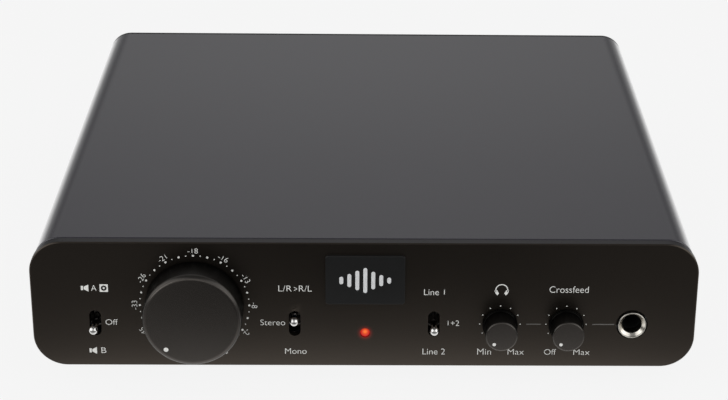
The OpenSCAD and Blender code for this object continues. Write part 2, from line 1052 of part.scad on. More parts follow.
module at_rear_sockets() {
    for (i = [0 : rear_sockets - 1])
        at(first_socket_x + i * rear_pitch, socket_z)
            children();
}

module at_phonos() {
    for (i = [0, 1], j = [0, 1])
        at(phono_x + i * phono_pitch_x, phono_z + j * phono_pitch_z)
            children();
}

module rear_sockets() {
    color([0.08, 0.08, 0.08])
        at_panel()
            at_rear_sockets()
                difference() {
                    union() {
                        translate([0, rear_in_y - socket_l, 0])
                            y_extrude(socket_l)
                                square([socket_w, socket_w], center = true);
                        y_rod(nose_d / 2, rear_in_y - 1, rear_out_y + nose_reach);
                    }
                    y_rod(plug_bore_d / 2, rear_in_y - socket_l + 2, rear_out_y + nose_reach + 1);
                }
}

module rear_socket_nuts() {
    color("silver")
        at_panel()
            at_rear_sockets()
                difference() {
                    hex(socket_nut_r, rear_out_y, rear_out_y + socket_nut_h);
                    y_rod(nose_d / 2 + run, rear_out_y - 1, rear_out_y + socket_nut_h + 1);
                }
}

// Plastic block on the main board, with a collar round each shell
module phono_block() {
    color([0.1, 0.1, 0.1])
        at_panel()
            difference() {
                union() {
                    translate([phono_x - phono_side, rear_in_y - phono_block_l, board_top_z])
                        cube([phono_block_w, phono_block_l, phono_block_h]);
                    at_phonos()
                        y_rod(phono_collar_r, rear_in_y - 1, rear_out_y + phono_collar_reach);
                }
                at_phonos()
                    y_rod(phono_root_d / 2 + run, rear_in_y - phono_deep, rear_out_y + 2);
            }
}

// Each shell is narrower where it sits in its block
module phono_shells() {
    color("silver")
        at_panel()
            at_phonos()
                difference() {
                    union() {
                        y_rod(phono_root_d / 2, rear_in_y - phono_deep, rear_out_y + phono_reach - 1);
                        y_rod(phono_d / 2, rear_out_y + phono_collar_reach, rear_out_y + phono_reach);
                    }
                    y_rod(phono_root_d / 2 - phono_wall, rear_in_y - phono_deep - 1,
                        rear_out_y + phono_reach + 1);
                }
}

module phono_inserts() {
    color("white")
        at_panel()
            at_phonos()
                difference() {
                    y_rod(phono_root_d / 2 - phono_wall - run, rear_in_y - phono_deep,
                        rear_out_y + phono_reach - 0.6);
                    y_rod(phono_contact_r, rear_in_y - phono_deep / 2, rear_out_y + phono_reach);
                }
}

module power_inlet() {
    color([0.08, 0.08, 0.08])
        at_panel()
            at(inlet_x, inlet_z)
                difference() {
                    union() {
                        translate([-inlet_w / 2, rear_in_y - inlet_l, -inlet_w / 2])
                            cube([inlet_w, inlet_l, inlet_w]);
                        y_rod(inlet_nose_r, rear_in_y - 1, rear_out_y + 1.5);
                    }
                    y_rod(inlet_d / 2, rear_in_y - inlet_deep, rear_out_y + 3);
                }
}

module power_inlet_pin() {
    color("silver")
        at_panel()
            at(inlet_x, inlet_z)
                y_rod(inlet_pin_r, rear_in_y - inlet_deep, rear_out_y + 0.5);
}

// Frame of the power switch: a bezel on the rear panel and a box through it, open for the rocker
module power_switch() {
    cavity_h = 2 * (rocker_r + fit);
    cavity_y = rocker_pivot_y - rocker_r;
    pin_l = rocker_w + 2 * rocker_pin_l;
    color([0.07, 0.07, 0.07])
        at_panel()
            at(power_x, power_z)
                difference() {
                    union() {
                        translate([0, rear_out_y, 0])
                            y_extrude(bezel_t)
                                rounded_rect(bezel_w, bezel_h, 1.5);
                        translate([-frame_w / 2, rear_out_y - frame_l, -frame_h / 2])
                            cube([frame_w, frame_l + 0.1, frame_h]);
                    }
                    translate([-rocker_w / 2 - fit, cavity_y, -cavity_h / 2])
                        cube([rocker_w + 2 * fit, rear_out_y + bezel_t + 1 - cavity_y, cavity_h]);
                    translate([0, rocker_pivot_y, 0])
                        rotate([0, 90, 0])
                            cylinder(r = rocker_pin_r + run, h = pin_l + 0.4, center = true);
                }
}

// The rocker rests tilted to ON, with its upper half pressed in
module power_rocker() {
    color([0.1, 0.1, 0.1])
        at_panel()
            at(power_x, power_z)
                translate([0, rocker_pivot_y, 0])
                    rotate([rocker_tilt, 0, 0]) {
                        rotate([90, 0, 90])
                            linear_extrude(rocker_w, center = true)
                                rocker_outline();
                        rotate([0, 90, 0])
                            cylinder(r = rocker_pin_r, h = rocker_w + 2 * rocker_pin_l, center = true);
                    }
}

// Shallow V towards the back, with its ends on a circle about the pivot
module rocker_outline() {
    rise = rocker_r * tan(rocker_tilt);
    intersection() {
        circle(r = rocker_r);
        polygon([
            [rocker_crest, 0], [rocker_crest + rise, rocker_r], [-rocker_back, rocker_r],
            [-rocker_back, -rocker_r], [rocker_crest + rise, -rocker_r]
        ]);
    }
}

// ---------- what is drawn ----------

case_sleeve();
front_panel();
chassis_tray();
rear_panel();
badge_plate();
panel_screws();
rear_screws();
rubber_feet();
foot_screws();
foot_nuts();
volume_knob();
volume_pointer();
volume_shaft();
volume_pot();
volume_pot_nut();
headphone_knob();
headphone_pointer();
headphone_shaft();
headphone_pot();
headphone_pot_nut();
crossfeed_knob();
crossfeed_pointer();
crossfeed_shaft();
crossfeed_pot();
crossfeed_pot_nut();
speaker_switch();
speaker_lever();
mode_switch();
mode_lever();
source_switch();
source_lever();
switch_bushings();
power_light();
light_holder();
headphone_socket();
headphone_ring();
control_board();
main_board();
board_standoffs();
board_screws();
board_header();
filter_capacitors();
amplifier_chips();
relays();
regulators();
heat_sink();
rear_sockets();
rear_socket_nuts();
phono_block();
phono_shells();
phono_inserts();
power_inlet();
power_inlet_pin();
power_switch();
power_rocker();
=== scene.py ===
"""Finishes, printed scales and stage of a desktop studio monitor controller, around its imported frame."""
import json
import math
from contextlib import contextmanager

import bmesh
import bpy
from bpy.props import FloatProperty, FloatVectorProperty, PointerProperty
from bpy.types import Operator, Panel, PropertyGroup
from mathutils import Matrix, Vector

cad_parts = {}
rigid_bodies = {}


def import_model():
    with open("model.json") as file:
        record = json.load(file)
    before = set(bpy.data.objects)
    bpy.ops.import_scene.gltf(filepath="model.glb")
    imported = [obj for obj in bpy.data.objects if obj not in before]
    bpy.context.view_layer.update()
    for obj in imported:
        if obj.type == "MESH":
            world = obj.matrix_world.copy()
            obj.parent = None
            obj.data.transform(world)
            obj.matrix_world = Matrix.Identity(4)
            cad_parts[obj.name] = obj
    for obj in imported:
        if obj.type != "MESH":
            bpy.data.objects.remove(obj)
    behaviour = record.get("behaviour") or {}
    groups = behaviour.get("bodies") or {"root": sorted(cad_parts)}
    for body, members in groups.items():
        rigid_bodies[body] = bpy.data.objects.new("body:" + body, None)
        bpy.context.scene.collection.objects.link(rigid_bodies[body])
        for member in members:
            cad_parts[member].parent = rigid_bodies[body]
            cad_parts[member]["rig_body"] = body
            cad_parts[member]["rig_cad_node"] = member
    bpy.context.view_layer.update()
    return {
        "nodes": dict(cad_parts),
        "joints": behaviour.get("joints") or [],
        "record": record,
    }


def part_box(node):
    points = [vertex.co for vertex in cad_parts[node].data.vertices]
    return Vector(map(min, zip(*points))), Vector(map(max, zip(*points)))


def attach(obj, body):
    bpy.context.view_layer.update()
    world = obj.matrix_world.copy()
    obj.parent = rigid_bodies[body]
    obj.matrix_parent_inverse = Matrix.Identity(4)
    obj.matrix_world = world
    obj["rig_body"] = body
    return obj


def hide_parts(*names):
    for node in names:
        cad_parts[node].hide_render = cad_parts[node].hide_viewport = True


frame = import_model()

bl_info = {
    "name": "Studio Monitor Controller",
    "version": (1, 0, 0),
    "blender": (4, 5, 0),
    "location": "View3D > Sidebar > Controller",
    "description": "Models and finishes a desktop studio monitor controller",
    "category": "Object",
}

MM = 0.001
ROOT = "root"

# ---------- places, taken from the frame ----------

PANEL_LOW, PANEL_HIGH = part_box("front_panel")
FACE_Y = PANEL_LOW.y
SWITCHES = ("speaker", "mode", "source")
# Radius of a 3 mm light, and of the bore for a 6.35 mm plug
LIGHT_RADIUS = 1.5 * MM
PLUG_RADIUS = 3.25 * MM


def middle(node):
    """The middle of a CAD node's box."""
    low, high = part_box(node)
    return (low + high) / 2


def on_face(x, z, proud=0.0):
    """A point in front of the panel's face: x from its middle and z from its lower edge, in millimetres."""
    return Vector((x * MM, FACE_Y - proud * MM, PANEL_LOW.z + z * MM))


def axis_point(node):
    """Where a front-to-back axis through a node's middle meets the panel's face."""
    point = middle(node)
    return Vector((point.x, FACE_Y, point.z))


def on_circle(centre, radius, turn):
    """A point on a circle about centre, turn degrees clockwise from the top."""
    return centre + Matrix.Rotation(math.radians(turn), 3, "Y") @ Vector((0, 0, radius))


def round_extent(node):
    """The radius of a round CAD node, and where it begins and ends behind the panel's face."""
    low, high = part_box(node)
    return (high.x - low.x) / 2, low.y - FACE_Y, high.y - FACE_Y


# ---------- settings ----------


def length(name, description, default):
    """A length that a user can set, with its default in millimetres."""
    return FloatProperty(name=name, description=description, default=default * MM,
                         min=0.0, precision=5, unit="LENGTH", subtype="DISTANCE")


def colour(name, description, default):
    """A colour that a user can set."""
    return FloatVectorProperty(name=name, description=description, default=default,
                               size=3, min=0.0, max=1.0, subtype="COLOR")


def power(name, description, default):
    """A lamp's power that a user can set."""
    return FloatProperty(name=name, description=description, default=default, min=0.0, unit="POWER")


class CaseSettings(PropertyGroup):
    """Sizes of the case, in metres."""

    panel_corner: length("Panel corner", "Corner radius of the front panel", 10.5)
    panel_rim: length("Panel rim", "Chamfer of the front panel's edge", 0.35)
    sleeve_corner: length("Sleeve corner", "Corner radius of the sleeve", 8.6)
    sleeve_wall: length("Sleeve wall", "Sheet thickness of the sleeve", 1.2)
    slot_width: length("Slot width", "Width of a toggle slot", 3.7)
    slot_height: length("Slot height", "Height of a toggle slot", 8.8)
    socket_gap: length("Socket gap", "Gap round the headphone socket's ring", 0.4)
    shaft_gap: length("Shaft gap", "Gap round a knob's shaft", 0.3)
    light_gap: length("Light gap", "Gap round the power light", 0.1)
    hole_edge: length("Hole edge", "Rounding of the edges of holes", 0.12)
    badge_corner: length("Badge corner", "Corner radius of the badge plate", 1.0)
    badge_rim: length("Badge rim", "Rounding of the badge plate's edge", 0.2)
    sleeve_lip: length("Sleeve lip", "Rounding of the sleeve's open ends", 0.45)
    ring_lip: length("Ring lip", "Width of the headphone ring's front edge", 0.35)
    ring_inset: length("Ring inset", "How far the ring's face stays inside its hole", 0.2)
    small_edge: length("Small edge", "Rounding of the edges of small parts", 0.2)


class KnobSettings(PropertyGroup):
    """Sizes of the knobs and levers, in metres."""

    volume_rim: length("Volume knob rim", "Rounding of the volume knob's face edge", 1.6)
    small_rim: length("Small knob rim", "Rounding of the small knobs' face edges", 0.6)
    skirt: length("Skirt", "How far a small knob's skirt stands out at its base", 0.5)
    skirt_height: length("Skirt height", "Thickness of a small knob's skirt", 0.5)
    bore: length("Bore", "Radius of a knob's bore for its shaft", 3.05)
    face_wall: length("Face wall", "Thickness of a knob behind its face", 2.0)
    tip: length("Lever tip", "Radius of a lever's round tip", 1.45)
    waist: length("Lever waist", "Radius of a lever near its pivot", 0.85)
    ball: length("Lever ball", "Radius of the ball that a lever turns on", 1.9)
    tail: length("Lever tail", "How far a lever reaches behind its pivot", 3.2)


class InkSettings(PropertyGroup):
    """Sizes of the printing, in metres."""

    digit_height: length("Digit height", "Height of the digits round the volume knob", 1.75)
    thickness: length("Ink thickness", "How far the ink stands out of the panel", 0.03)
    large_dot: length("Large dot", "Radius of the large dots of the volume scale", 0.35)
    small_dot: length("Small dot", "Radius of the small dots of the volume scale", 0.19)
    dial_dot: length("Dial dot", "Radius of the dots round the small knobs", 0.19)
    scale_radius: length("Volume scale", "Radius of the volume scale", 17.2)
    digit_radius: length("Digit circle", "Radius of the circle of digits", 18.85)
    dial_radius: length("Dial scale", "Radius of the small knobs' scales", 6.42)
    line_width: length("Line width", "Width of the lines between the dials", 0.32)


class FinishSettings(PropertyGroup):
    """Colours of the finishes."""

    case_grey: colour("Case", "Lacquer of the sleeve", (0.021, 0.019, 0.028))
    panel_black: colour("Front panel", "Anodised front panel", (0.073, 0.062, 0.052))
    # Painted light, not a milled finish: a lighter copy of the panel's finish for its outer edge faces, where
    # light from above brightens the top strip
    panel_edge: colour("Panel edge", "Milled edge of the front panel", (0.100, 0.098, 0.101))
    badge_black: colour("Badge", "Badge plate", (0.0072, 0.0074, 0.0074))
    badge_silver: colour("Badge bars", "Silver bars on the badge", (0.78, 0.79, 0.80))
    knob_black: colour("Knob faces", "Satin metal of the knobs' faces", (0.160, 0.145, 0.132))
    knob_rim: colour("Knob rims", "Rounded rims of the knobs", (0.070, 0.065, 0.060))
    knob_side: colour("Knob sides", "Dark sides of the knobs", (0.055, 0.052, 0.049))
    ink_white: colour("Ink", "White printing", (0.80, 0.80, 0.77))
    ink_grey: colour("Grey ink", "Thin lines between the dials", (0.135, 0.128, 0.118))
    light_core: colour("Light core", "Middle of the power light", (1.0, 0.19, 0.035))
    light_edge: colour("Light edge", "Edge of the power light", (0.50, 0.013, 0.012))


class StageSettings(PropertyGroup):
    """Floor, lamps and camera."""

    pale: colour("Pale", "Colour of the floor and the background", (0.93, 0.93, 0.93))
    lens: FloatProperty(name="Lens", description="Focal length in millimetres", default=96.87, min=1.0)
    sky: FloatProperty(name="Sky", description="Strength of the soft light from all round",
                       default=0.48, min=0.0)
    shadow: FloatProperty(name="Shadow", description="Depth of the shadow that the camera sees on the floor",
                          default=0.05, min=0.0, max=1.0)
    side_power: power("Side lamps", "Power of the lamp at each side", 6.5)
    front_power: power("Front lamp", "Power of the lamp in front", 2.0)
    near_floor: length("Near floor", "How soon the floor ahead of the panel fades in reflections", 24.0)
    far_floor: length("Far floor", "How soon the floor fades in reflections with the way to it", 350.0)


SETTINGS = {
    "controller_case": CaseSettings,
    "controller_knobs": KnobSettings,
    "controller_ink": InkSettings,
    "controller_finish": FinishSettings,
    "controller_stage": StageSettings,
}

# ---------- modelling ----------

UP = Vector((0, 0, 1))
BACKWARDS = Vector((0, 1, 0))
# Turns of a primitive: so a cylinder lies from front to back, and so a flat shape faces forwards
ALONG_Y = (math.radians(-90), 0, 0)
FORWARDS = (math.radians(90), 0, 0)
# Points of a spun mesh nearer than this are merged, in metres
MERGE = 1e-7
# Other places nearer than this count as one, in metres
SAME_PLACE = 1e-6
# A direction is along y when this much of it is
ALIGNED = 0.999
# Edges sharper than this many degrees stay sharp: as a rule, on pieces round all over, and on a ring
SHARP = 40
ROUND_SHARP = 50
RING_SHARP = 30
# Triangles of a CAD node that turn less than this many degrees are merged into one face
FLAT = 1
# Faces round the corner of a plate, and round a large, a middling and a small turned piece
CORNER_STEPS = 24
LARGE_STEPS = 96
MIDDLE_STEPS = 48
SMALL_STEPS = 32


def select_only(*objects):
    """Leaves only these objects selected, the first of them active."""
    bpy.ops.object.select_all(action="DESELECT")
    for obj in objects:
        obj.select_set(True)
    if objects:
        bpy.context.view_layer.objects.active = objects[0]


def named(name):
    """Names the object that an operator has just added."""
    obj = bpy.context.object
    obj.name = name
    obj.data.name = name
    return obj


def apply_place(obj):
    """Puts an object's place, turn and scale into its mesh."""
    select_only(obj)
    bpy.ops.object.transform_apply(location=True, rotation=True, scale=True)
    return obj


def block(name, low, high):
    """A box between two corners."""
    select_only()
    bpy.ops.mesh.primitive_cube_add(size=1, location=(low + high) / 2, scale=high - low)
    return apply_place(named(name))


def rod(name, centre, radius, y0, y1, sides=64):
    """A bar along the front-to-back direction, from y0 to y1."""
    select_only()
    place = (centre.x, (y0 + y1) / 2, centre.z)
    bpy.ops.mesh.primitive_cylinder_add(vertices=sides, radius=radius, depth=y1 - y0,
                                        location=place, rotation=ALONG_Y)
    return apply_place(named(name))


def modify(obj, kind, **values):
    """Adds a modifier with these values and applies it."""
    select_only(obj)
    modifier = obj.modifiers.new(kind.title(), kind)
    for key, value in values.items():
        setattr(modifier, key, value)
    bpy.ops.object.modifier_apply(modifier=modifier.name)
    return obj


@contextmanager
def editing(obj):
    """Edit mode on one object alone."""
    select_only(obj)
    bpy.ops.object.mode_set(mode="EDIT")
    yield
    bpy.ops.object.mode_set(mode="OBJECT")


def pick(obj, kind, test):
    """In edit mode, selects what test holds for, among the edges or the faces. kind is EDGE or FACE."""
    bpy.ops.mesh.select_mode(type=kind)
    bpy.ops.mesh.select_all(action="DESELECT")
    mesh = bmesh.from_edit_mesh(obj.data)
    for item in mesh.edges if kind == "EDGE" else mesh.faces:
        if test(item):
            item.select_set(True)
    bmesh.update_edit_mesh(obj.data)


def round_edges(obj, test, width, segments):
    """Rounds the edges for which test(edge) holds."""
    with editing(obj):
        pick(obj, "EDGE", test)
        bpy.ops.mesh.bevel(offset=width, segments=segments, affect="EDGES", clamp_overlap=False)
    return obj


def runs_along_y(edge):
    """Holds for edges that run from front to back."""
    way = edge.verts[1].co - edge.verts[0].co
    return abs(way.normalized().y) > ALIGNED


def lies_at_y(y):
    """A test for edges that lie in the plane at y."""
    return lambda edge: all(abs(vert.co.y - y) < SAME_PLACE for vert in edge.verts)


def cut(obj, *cutters):
    """Takes each cutter out of obj and deletes it."""
    for cutter in cutters:
        modify(obj, "BOOLEAN", operation="DIFFERENCE", solver="EXACT", object=cutter)
        bpy.data.objects.remove(cutter)
    return obj


def smooth(obj, angle=SHARP):
    """Smooth shading across edges flatter than angle, with the flat faces kept flat."""
    select_only(obj)
    bpy.ops.object.shade_smooth_by_angle(angle=math.radians(angle))
    return modify(obj, "WEIGHTED_NORMAL", keep_sharp=True)


def soften(obj, width, segments=2):
    """Rounds every sharp edge a little and shades the piece."""
    modify(obj, "BEVEL", width=width, segments=segments, limit_method="ANGLE",
           angle_limit=math.radians(SHARP), use_clamp_overlap=True)
    return smooth(obj)


def corners(obj):
    """The lowest and the highest corner of an object's own box."""
    points = [Vector(corner) for corner in obj.bound_box]
    low = Vector([min(point[i] for point in points) for i in range(3)])
    high = Vector([max(point[i] for point in points) for i in range(3)])
    return low, high


def join(name, objects):
    """Joins objects into one."""
    select_only(*objects)
    bpy.ops.object.join()
    return named(name)


def arc(radius, along, size, start, end, parts=6):
    """Points of a quarter or other arc in an outline, from start to end degrees."""
    points = []
    for i in range(parts + 1):
        turn = math.radians(start + (end - start) * i / parts)
        points.append((radius + size * math.cos(turn), along + size * math.sin(turn)))
    return points


def chain(name, start, moves):
    """A new object of edges from start, one along each move, in edit mode with all of it selected."""
    select_only()
    bpy.ops.mesh.primitive_plane_add(size=MM, location=start)
    obj = named(name)
    bpy.ops.object.mode_set(mode="EDIT")
    bpy.ops.mesh.select_mode(type="VERT")
    bpy.ops.mesh.select_all(action="SELECT")
    bpy.ops.mesh.merge(type="CENTER")
    for move in moves:
        bpy.ops.mesh.extrude_region_move(TRANSFORM_OT_translate={"value": move})
    bpy.ops.mesh.select_all(action="SELECT")
    return obj


def spun(obj, steps, angle, centre, axis):
    """Spins a chain about an axis through centre, closes its seams and leaves edit mode."""
    bpy.ops.mesh.spin(steps=steps, angle=angle, center=centre, axis=axis)
    bpy.ops.mesh.select_all(action="SELECT")
    bpy.ops.mesh.remove_doubles(threshold=MERGE)
    bpy.ops.mesh.normals_make_consistent(inside=False)
    bpy.ops.object.mode_set(mode="OBJECT")
    return apply_place(obj)


def turned(name, outline, centre, steps):
    """Spins an outline of (radius, distance backwards) points about the axis through centre."""
    start = centre + UP * outline[0][0] + BACKWARDS * outline[0][1]
    moves = [UP * (r1 - r0) + BACKWARDS * (a1 - a0) for (r0, a0), (r1, a1) in zip(outline, outline[1:])]
    return spun(chain(name, start, moves), steps, math.tau, centre, BACKWARDS)


def flat_shape(name, points):
    """A flat shape that faces forwards, from its corners in order."""
    obj = chain(name, points[0], [there - here for here, there in zip(points, points[1:])])
    bpy.ops.mesh.edge_face_add()
    bpy.ops.object.mode_set(mode="OBJECT")
    return face_forwards(apply_place(obj))


def face_forwards(obj):
    """Turns a flat shape's faces towards the front if they look backwards."""
    if obj.data.polygons[0].normal.y > 0:
        with editing(obj):
            bpy.ops.mesh.select_all(action="SELECT")
            bpy.ops.mesh.flip_normals()
    return obj


def disc(name, centre, radius, sides=20):
    """A flat disc that faces forwards."""
    select_only()
    bpy.ops.mesh.primitive_circle_add(vertices=sides, radius=radius, fill_type="NGON",
                                      location=centre, rotation=FORWARDS)
    return apply_place(named(name))


def bar(name, centre, width, height):
    """A flat oblong that faces forwards."""
    select_only()
    bpy.ops.mesh.primitive_plane_add(size=1, location=centre, rotation=FORWARDS)
    obj = named(name)
    obj.scale = (width, height, 1)
    return apply_place(obj)


def ring_strip(name, centre, radii, start, end, steps):
    """A flat part of a ring that faces forwards, from start to end degrees clockwise from the top."""
    inner, outer = radii
    out = Matrix.Rotation(math.radians(start), 3, "Y") @ UP
    obj = chain(name, centre + out * inner, [out * (outer - inner)])
    return face_forwards(spun(obj, steps, math.radians(end - start), centre, -BACKWARDS))


def softened(node, width):
    """A copy of a CAD node with its triangles merged into faces and its sharp edges rounded."""
    select_only(frame["nodes"][node])
    bpy.ops.object.duplicate()
    obj = named(f"{node}_finished")
    bpy.ops.object.parent_clear(type="CLEAR_KEEP_TRANSFORM")
    del obj["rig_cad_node"]
    with editing(obj):
        bpy.ops.mesh.select_all(action="SELECT")
        bpy.ops.mesh.remove_doubles(threshold=SAME_PLACE)
        bpy.ops.mesh.dissolve_limited(angle_limit=math.radians(FLAT))
    return soften(obj, width)


# ---------- nodes of materials ----------


def feed(tree, slot, value):
    """Links a socket to a node's input, or gives the input a plain number or colour."""
    if isinstance(value, bpy.types.NodeSocket):
        tree.links.new(value, slot)
    else:
        slot.default_value = (*value, 1.0) if slot.type == "RGBA" else value


def feed_all(tree, node, inputs):
    """Feeds a node's inputs, each under its name."""
    for label, value in inputs.items():
        feed(tree, node.inputs[label], value)


def add_node(tree, kind, setup=(), **inputs):
    """A shader node. setup holds its own settings, and its inputs have _ for each space of their names."""
    node = tree.nodes.new(f"ShaderNode{kind}")
    for key, value in dict(setup).items():
        setattr(node, key, value)
    feed_all(tree, node, {key.replace("_", " ").title(): value for key, value in inputs.items()})
    return node


def add_math(tree, operation, *values):
    """A math node whose inputs are numbers or sockets."""
    node = add_node(tree, "Math", {"operation": operation})
    for slot, value in zip(node.inputs, values):
        feed(tree, slot, value)
    return node.outputs[0]


def minus(tree, value, other):
    """The difference of two numbers or sockets."""
    return add_math(tree, "SUBTRACT", value, other)


def plus(tree, value, *others):
    """The sum of numbers or sockets."""
    for other in others:
        value = add_math(tree, "ADD", value, other)
    return value


def times(tree, value, *others):
    """The product of numbers or sockets."""
    for other in others:
        value = add_math(tree, "MULTIPLY", value, other)
    return value


def at_least(tree, value, *others):
    """The largest of numbers or sockets."""
    for other in others:
        value = add_math(tree, "MAXIMUM", value, other)
    return value


def at_most(tree, value, limit):
    """A number or socket, or the limit where it is larger."""
    return add_math(tree, "MINIMUM", value, limit)


def times_plus(tree, value, factor, more):
    """value times factor, plus more."""
    return add_math(tree, "MULTIPLY_ADD", value, factor, more)


def rise(tree, value, start, end, low, high, kind="SMOOTHSTEP"):
    """A step from low at start to high at end, with smooth ends unless kind says LINEAR."""
    return add_node(tree, "MapRange", {"interpolation_type": kind}, value=value, from_min=start,
                    from_max=end, to_min=low, to_max=high).outputs["Result"]


def object_point(tree):
    """The place of each surface point on its object."""
    return tree.nodes.new("ShaderNodeTexCoord").outputs["Object"]


def x_y_z(tree, vector):
    """The three parts of a vector."""
    return add_node(tree, "SeparateXYZ", vector=vector).outputs


def add_noise(tree, vector, scale, detail=3.0):
    """A noise texture on a vector."""
    return add_node(tree, "TexNoise", vector=vector, scale=scale, detail=detail).outputs["Fac"]


# Places of a Mix node's colour sockets, which share their names with those for numbers
MIX_BASE = 6
MIX_OVER = 7
MIX_RESULT = 2


def mix_colours(tree, mask, base, over):
    """base where the mask is 0 and over where it is 1."""
    node = add_node(tree, "Mix", {"data_type": "RGBA"}, factor=mask)
    feed(tree, node.inputs[MIX_BASE], base)
    feed(tree, node.inputs[MIX_OVER], over)
    return node.outputs[MIX_RESULT]


def nearness(tree, centre, near, far):
    """1 within the distance near of a point, 0 past the distance far."""
    reach = add_node(tree, "VectorMath", {"operation": "DISTANCE"})
    feed(tree, reach.inputs[0], object_point(tree))
    feed(tree, reach.inputs[1], centre)
    return rise(tree, reach.outputs["Value"], near, far, 1.0, 0.0, "LINEAR")


def new_group(name, inputs, outputs):
    """A shader node group, with its inputs and outputs under their names."""
    tree = bpy.data.node_groups.new(name, "ShaderNodeTree")
    for label, kind, value in inputs:
        socket = tree.interface.new_socket(name=label, in_out="INPUT", socket_type=kind)
        if value is not None:
            socket.default_value = value
    for label, kind in outputs:
        tree.interface.new_socket(name=label, in_out="OUTPUT", socket_type=kind)
    return tree, tree.nodes.new("NodeGroupInput").outputs, tree.nodes.new("NodeGroupOutput")


# Detail of the broad blotches, and the middle of a noise's values
BLOTCH_DETAIL = 2.0
NOISE_MIDDLE = 0.5


def surface_grain_group():
    """Fine grain and broad blotches that vary a colour, a roughness and a height."""
    tree, given, result = new_group("surface_grain", [
        ("Vector", "NodeSocketVector", None),
        ("Colour", "NodeSocketColor", None),
        ("Roughness", "NodeSocketFloat", 0.5),
        ("Grain Scale", "NodeSocketFloat", 2500.0),
        ("Grain", "NodeSocketFloat", 0.1),
        ("Blotch Scale", "NodeSocketFloat", 40.0),
        ("Blotch", "NodeSocketFloat", 0.1),
        ("Spread", "NodeSocketFloat", 0.1),
    ], [("Colour", "NodeSocketColor"), ("Roughness", "NodeSocketFloat"), ("Height", "NodeSocketFloat")])
    grain = add_noise(tree, given["Vector"], given["Grain Scale"])
    blotch = add_noise(tree, given["Vector"], given["Blotch Scale"], BLOTCH_DETAIL)
    grain_off = minus(tree, grain, NOISE_MIDDLE)
    blotch_off = minus(tree, blotch, NOISE_MIDDLE)
    shade = times_plus(tree, grain_off, given["Grain"], 1.0)
    shade = times_plus(tree, blotch_off, given["Blotch"], shade)
    tint = add_node(tree, "HueSaturation", color=given["Colour"], value=shade)
    rough = times_plus(tree, plus(tree, grain_off, blotch_off), given["Spread"], given["Roughness"])
    feed_all(tree, result, {"Colour": tint.outputs["Color"], "Roughness": rough, "Height": grain})
    return tree


# A speck's radius as a share of a cell, and the noise that thins the specks out with its limit
SPECK = 0.12
DUST_PATCHES = 90.0
DUST_FROM = 0.62
DUST_GREY = (0.5, 0.5, 0.48)


def dust_group():
    """A mask of sparse, tiny specks of dust."""
    tree, given, result = new_group("dust_specks", [
        ("Vector", "NodeSocketVector", None),
        ("Scale", "NodeSocketFloat", 500.0),
        ("Amount", "NodeSocketFloat", 0.3),
    ], [("Mask", "NodeSocketFloat")])
    cells = add_node(tree, "TexVoronoi", vector=given["Vector"], scale=given["Scale"])
    near = add_math(tree, "LESS_THAN", cells.outputs["Distance"], SPECK)
    some = add_math(tree, "GREATER_THAN", add_noise(tree, given["Vector"], DUST_PATCHES), DUST_FROM)
    feed_all(tree, result, {"Mask": times(tree, near, some, given["Amount"])})
    return tree


GROUPS = {}


def place_group(tree, build, **values):
    """Places a shared group in a material, with its own values. The group is built once."""
    if build not in GROUPS:
        GROUPS[build] = build()
    return add_node(tree, "Group", {"node_tree": GROUPS[build]}, **values)


# ---------- finishes ----------


def shader_of(material):
    """The shader of a finish."""
    return material.node_tree.nodes["Principled BSDF"]


def finish(name, shade, rough, grain=0.15, grain_scale=2500.0, blotch=0.12, blotch_scale=40.0,
           spread=0.1, bump=0.1, bump_depth=0.02, metal=0.0, specular=0.5, edge=1.0, coat=0.0,
           coat_rough=0.05, dust=0.0):
    """A finish with grain, blotches and dust. bump_depth is in millimetres, edge the tint at a flat look."""
    material = bpy.data.materials.new(name)
    material.use_nodes = True
    tree = material.node_tree
    vector = object_point(tree)
    surface = place_group(tree, surface_grain_group, vector=vector, colour=shade, roughness=rough,
                          grain_scale=grain_scale, grain=grain, blotch_scale=blotch_scale,
                          blotch=blotch, spread=spread)
    skin = surface.outputs["Colour"]
    if dust:
        specks = place_group(tree, dust_group, vector=vector, amount=dust)
        skin = mix_colours(tree, specks.outputs["Mask"], skin, DUST_GREY)
    relief = add_node(tree, "Bump", strength=bump, distance=bump_depth * MM,
                      height=surface.outputs["Height"])
    feed_all(tree, shader_of(material), {
        "Base Color": skin,
        "Roughness": surface.outputs["Roughness"],
        "Normal": relief.outputs["Normal"],
        "Metallic": metal,
        "Specular IOR Level": specular,
        "Specular Tint": (edge, edge, edge),
        "Coat Weight": coat,
        "Coat Roughness": coat_rough,
    })
    return material


def lay_over(material, mask, over):
    """Colours a finish over where the mask is 1."""
    base = shader_of(material).inputs["Base Color"]
    skin = base.links[0].from_socket
    feed(material.node_tree, base, mix_colours(material.node_tree, mask, skin, over))


# How steeply a shine falls off
FALL_OFF = 3.0


def shine(material, point, near, far, core, outside):
    """Makes a finish shine in the colour core at a point, which falls off to the colour outside."""
    tree = material.node_tree
    share = add_math(tree, "POWER", nearness(tree, point, near, far), FALL_OFF)
    feed_all(tree, shader_of(material), {
        "Emission Color": mix_colours(tree, share, outside, core),
        "Emission Strength": 1.0,
    })


# The colour setting of each finish that has one
COLOURED = {
    "case_coat": "case_grey",
    "panel_coat": "panel_black",
    "panel_edge": "panel_edge",
    "badge_plastic": "badge_black",
    "badge_silver": "badge_silver",
    "knob_plastic": "knob_black",
    "knob_rim": "knob_rim",
    "knob_side": "knob_side",
    "pointer_white": "ink_white",
    "grey_ink": "ink_grey",
}

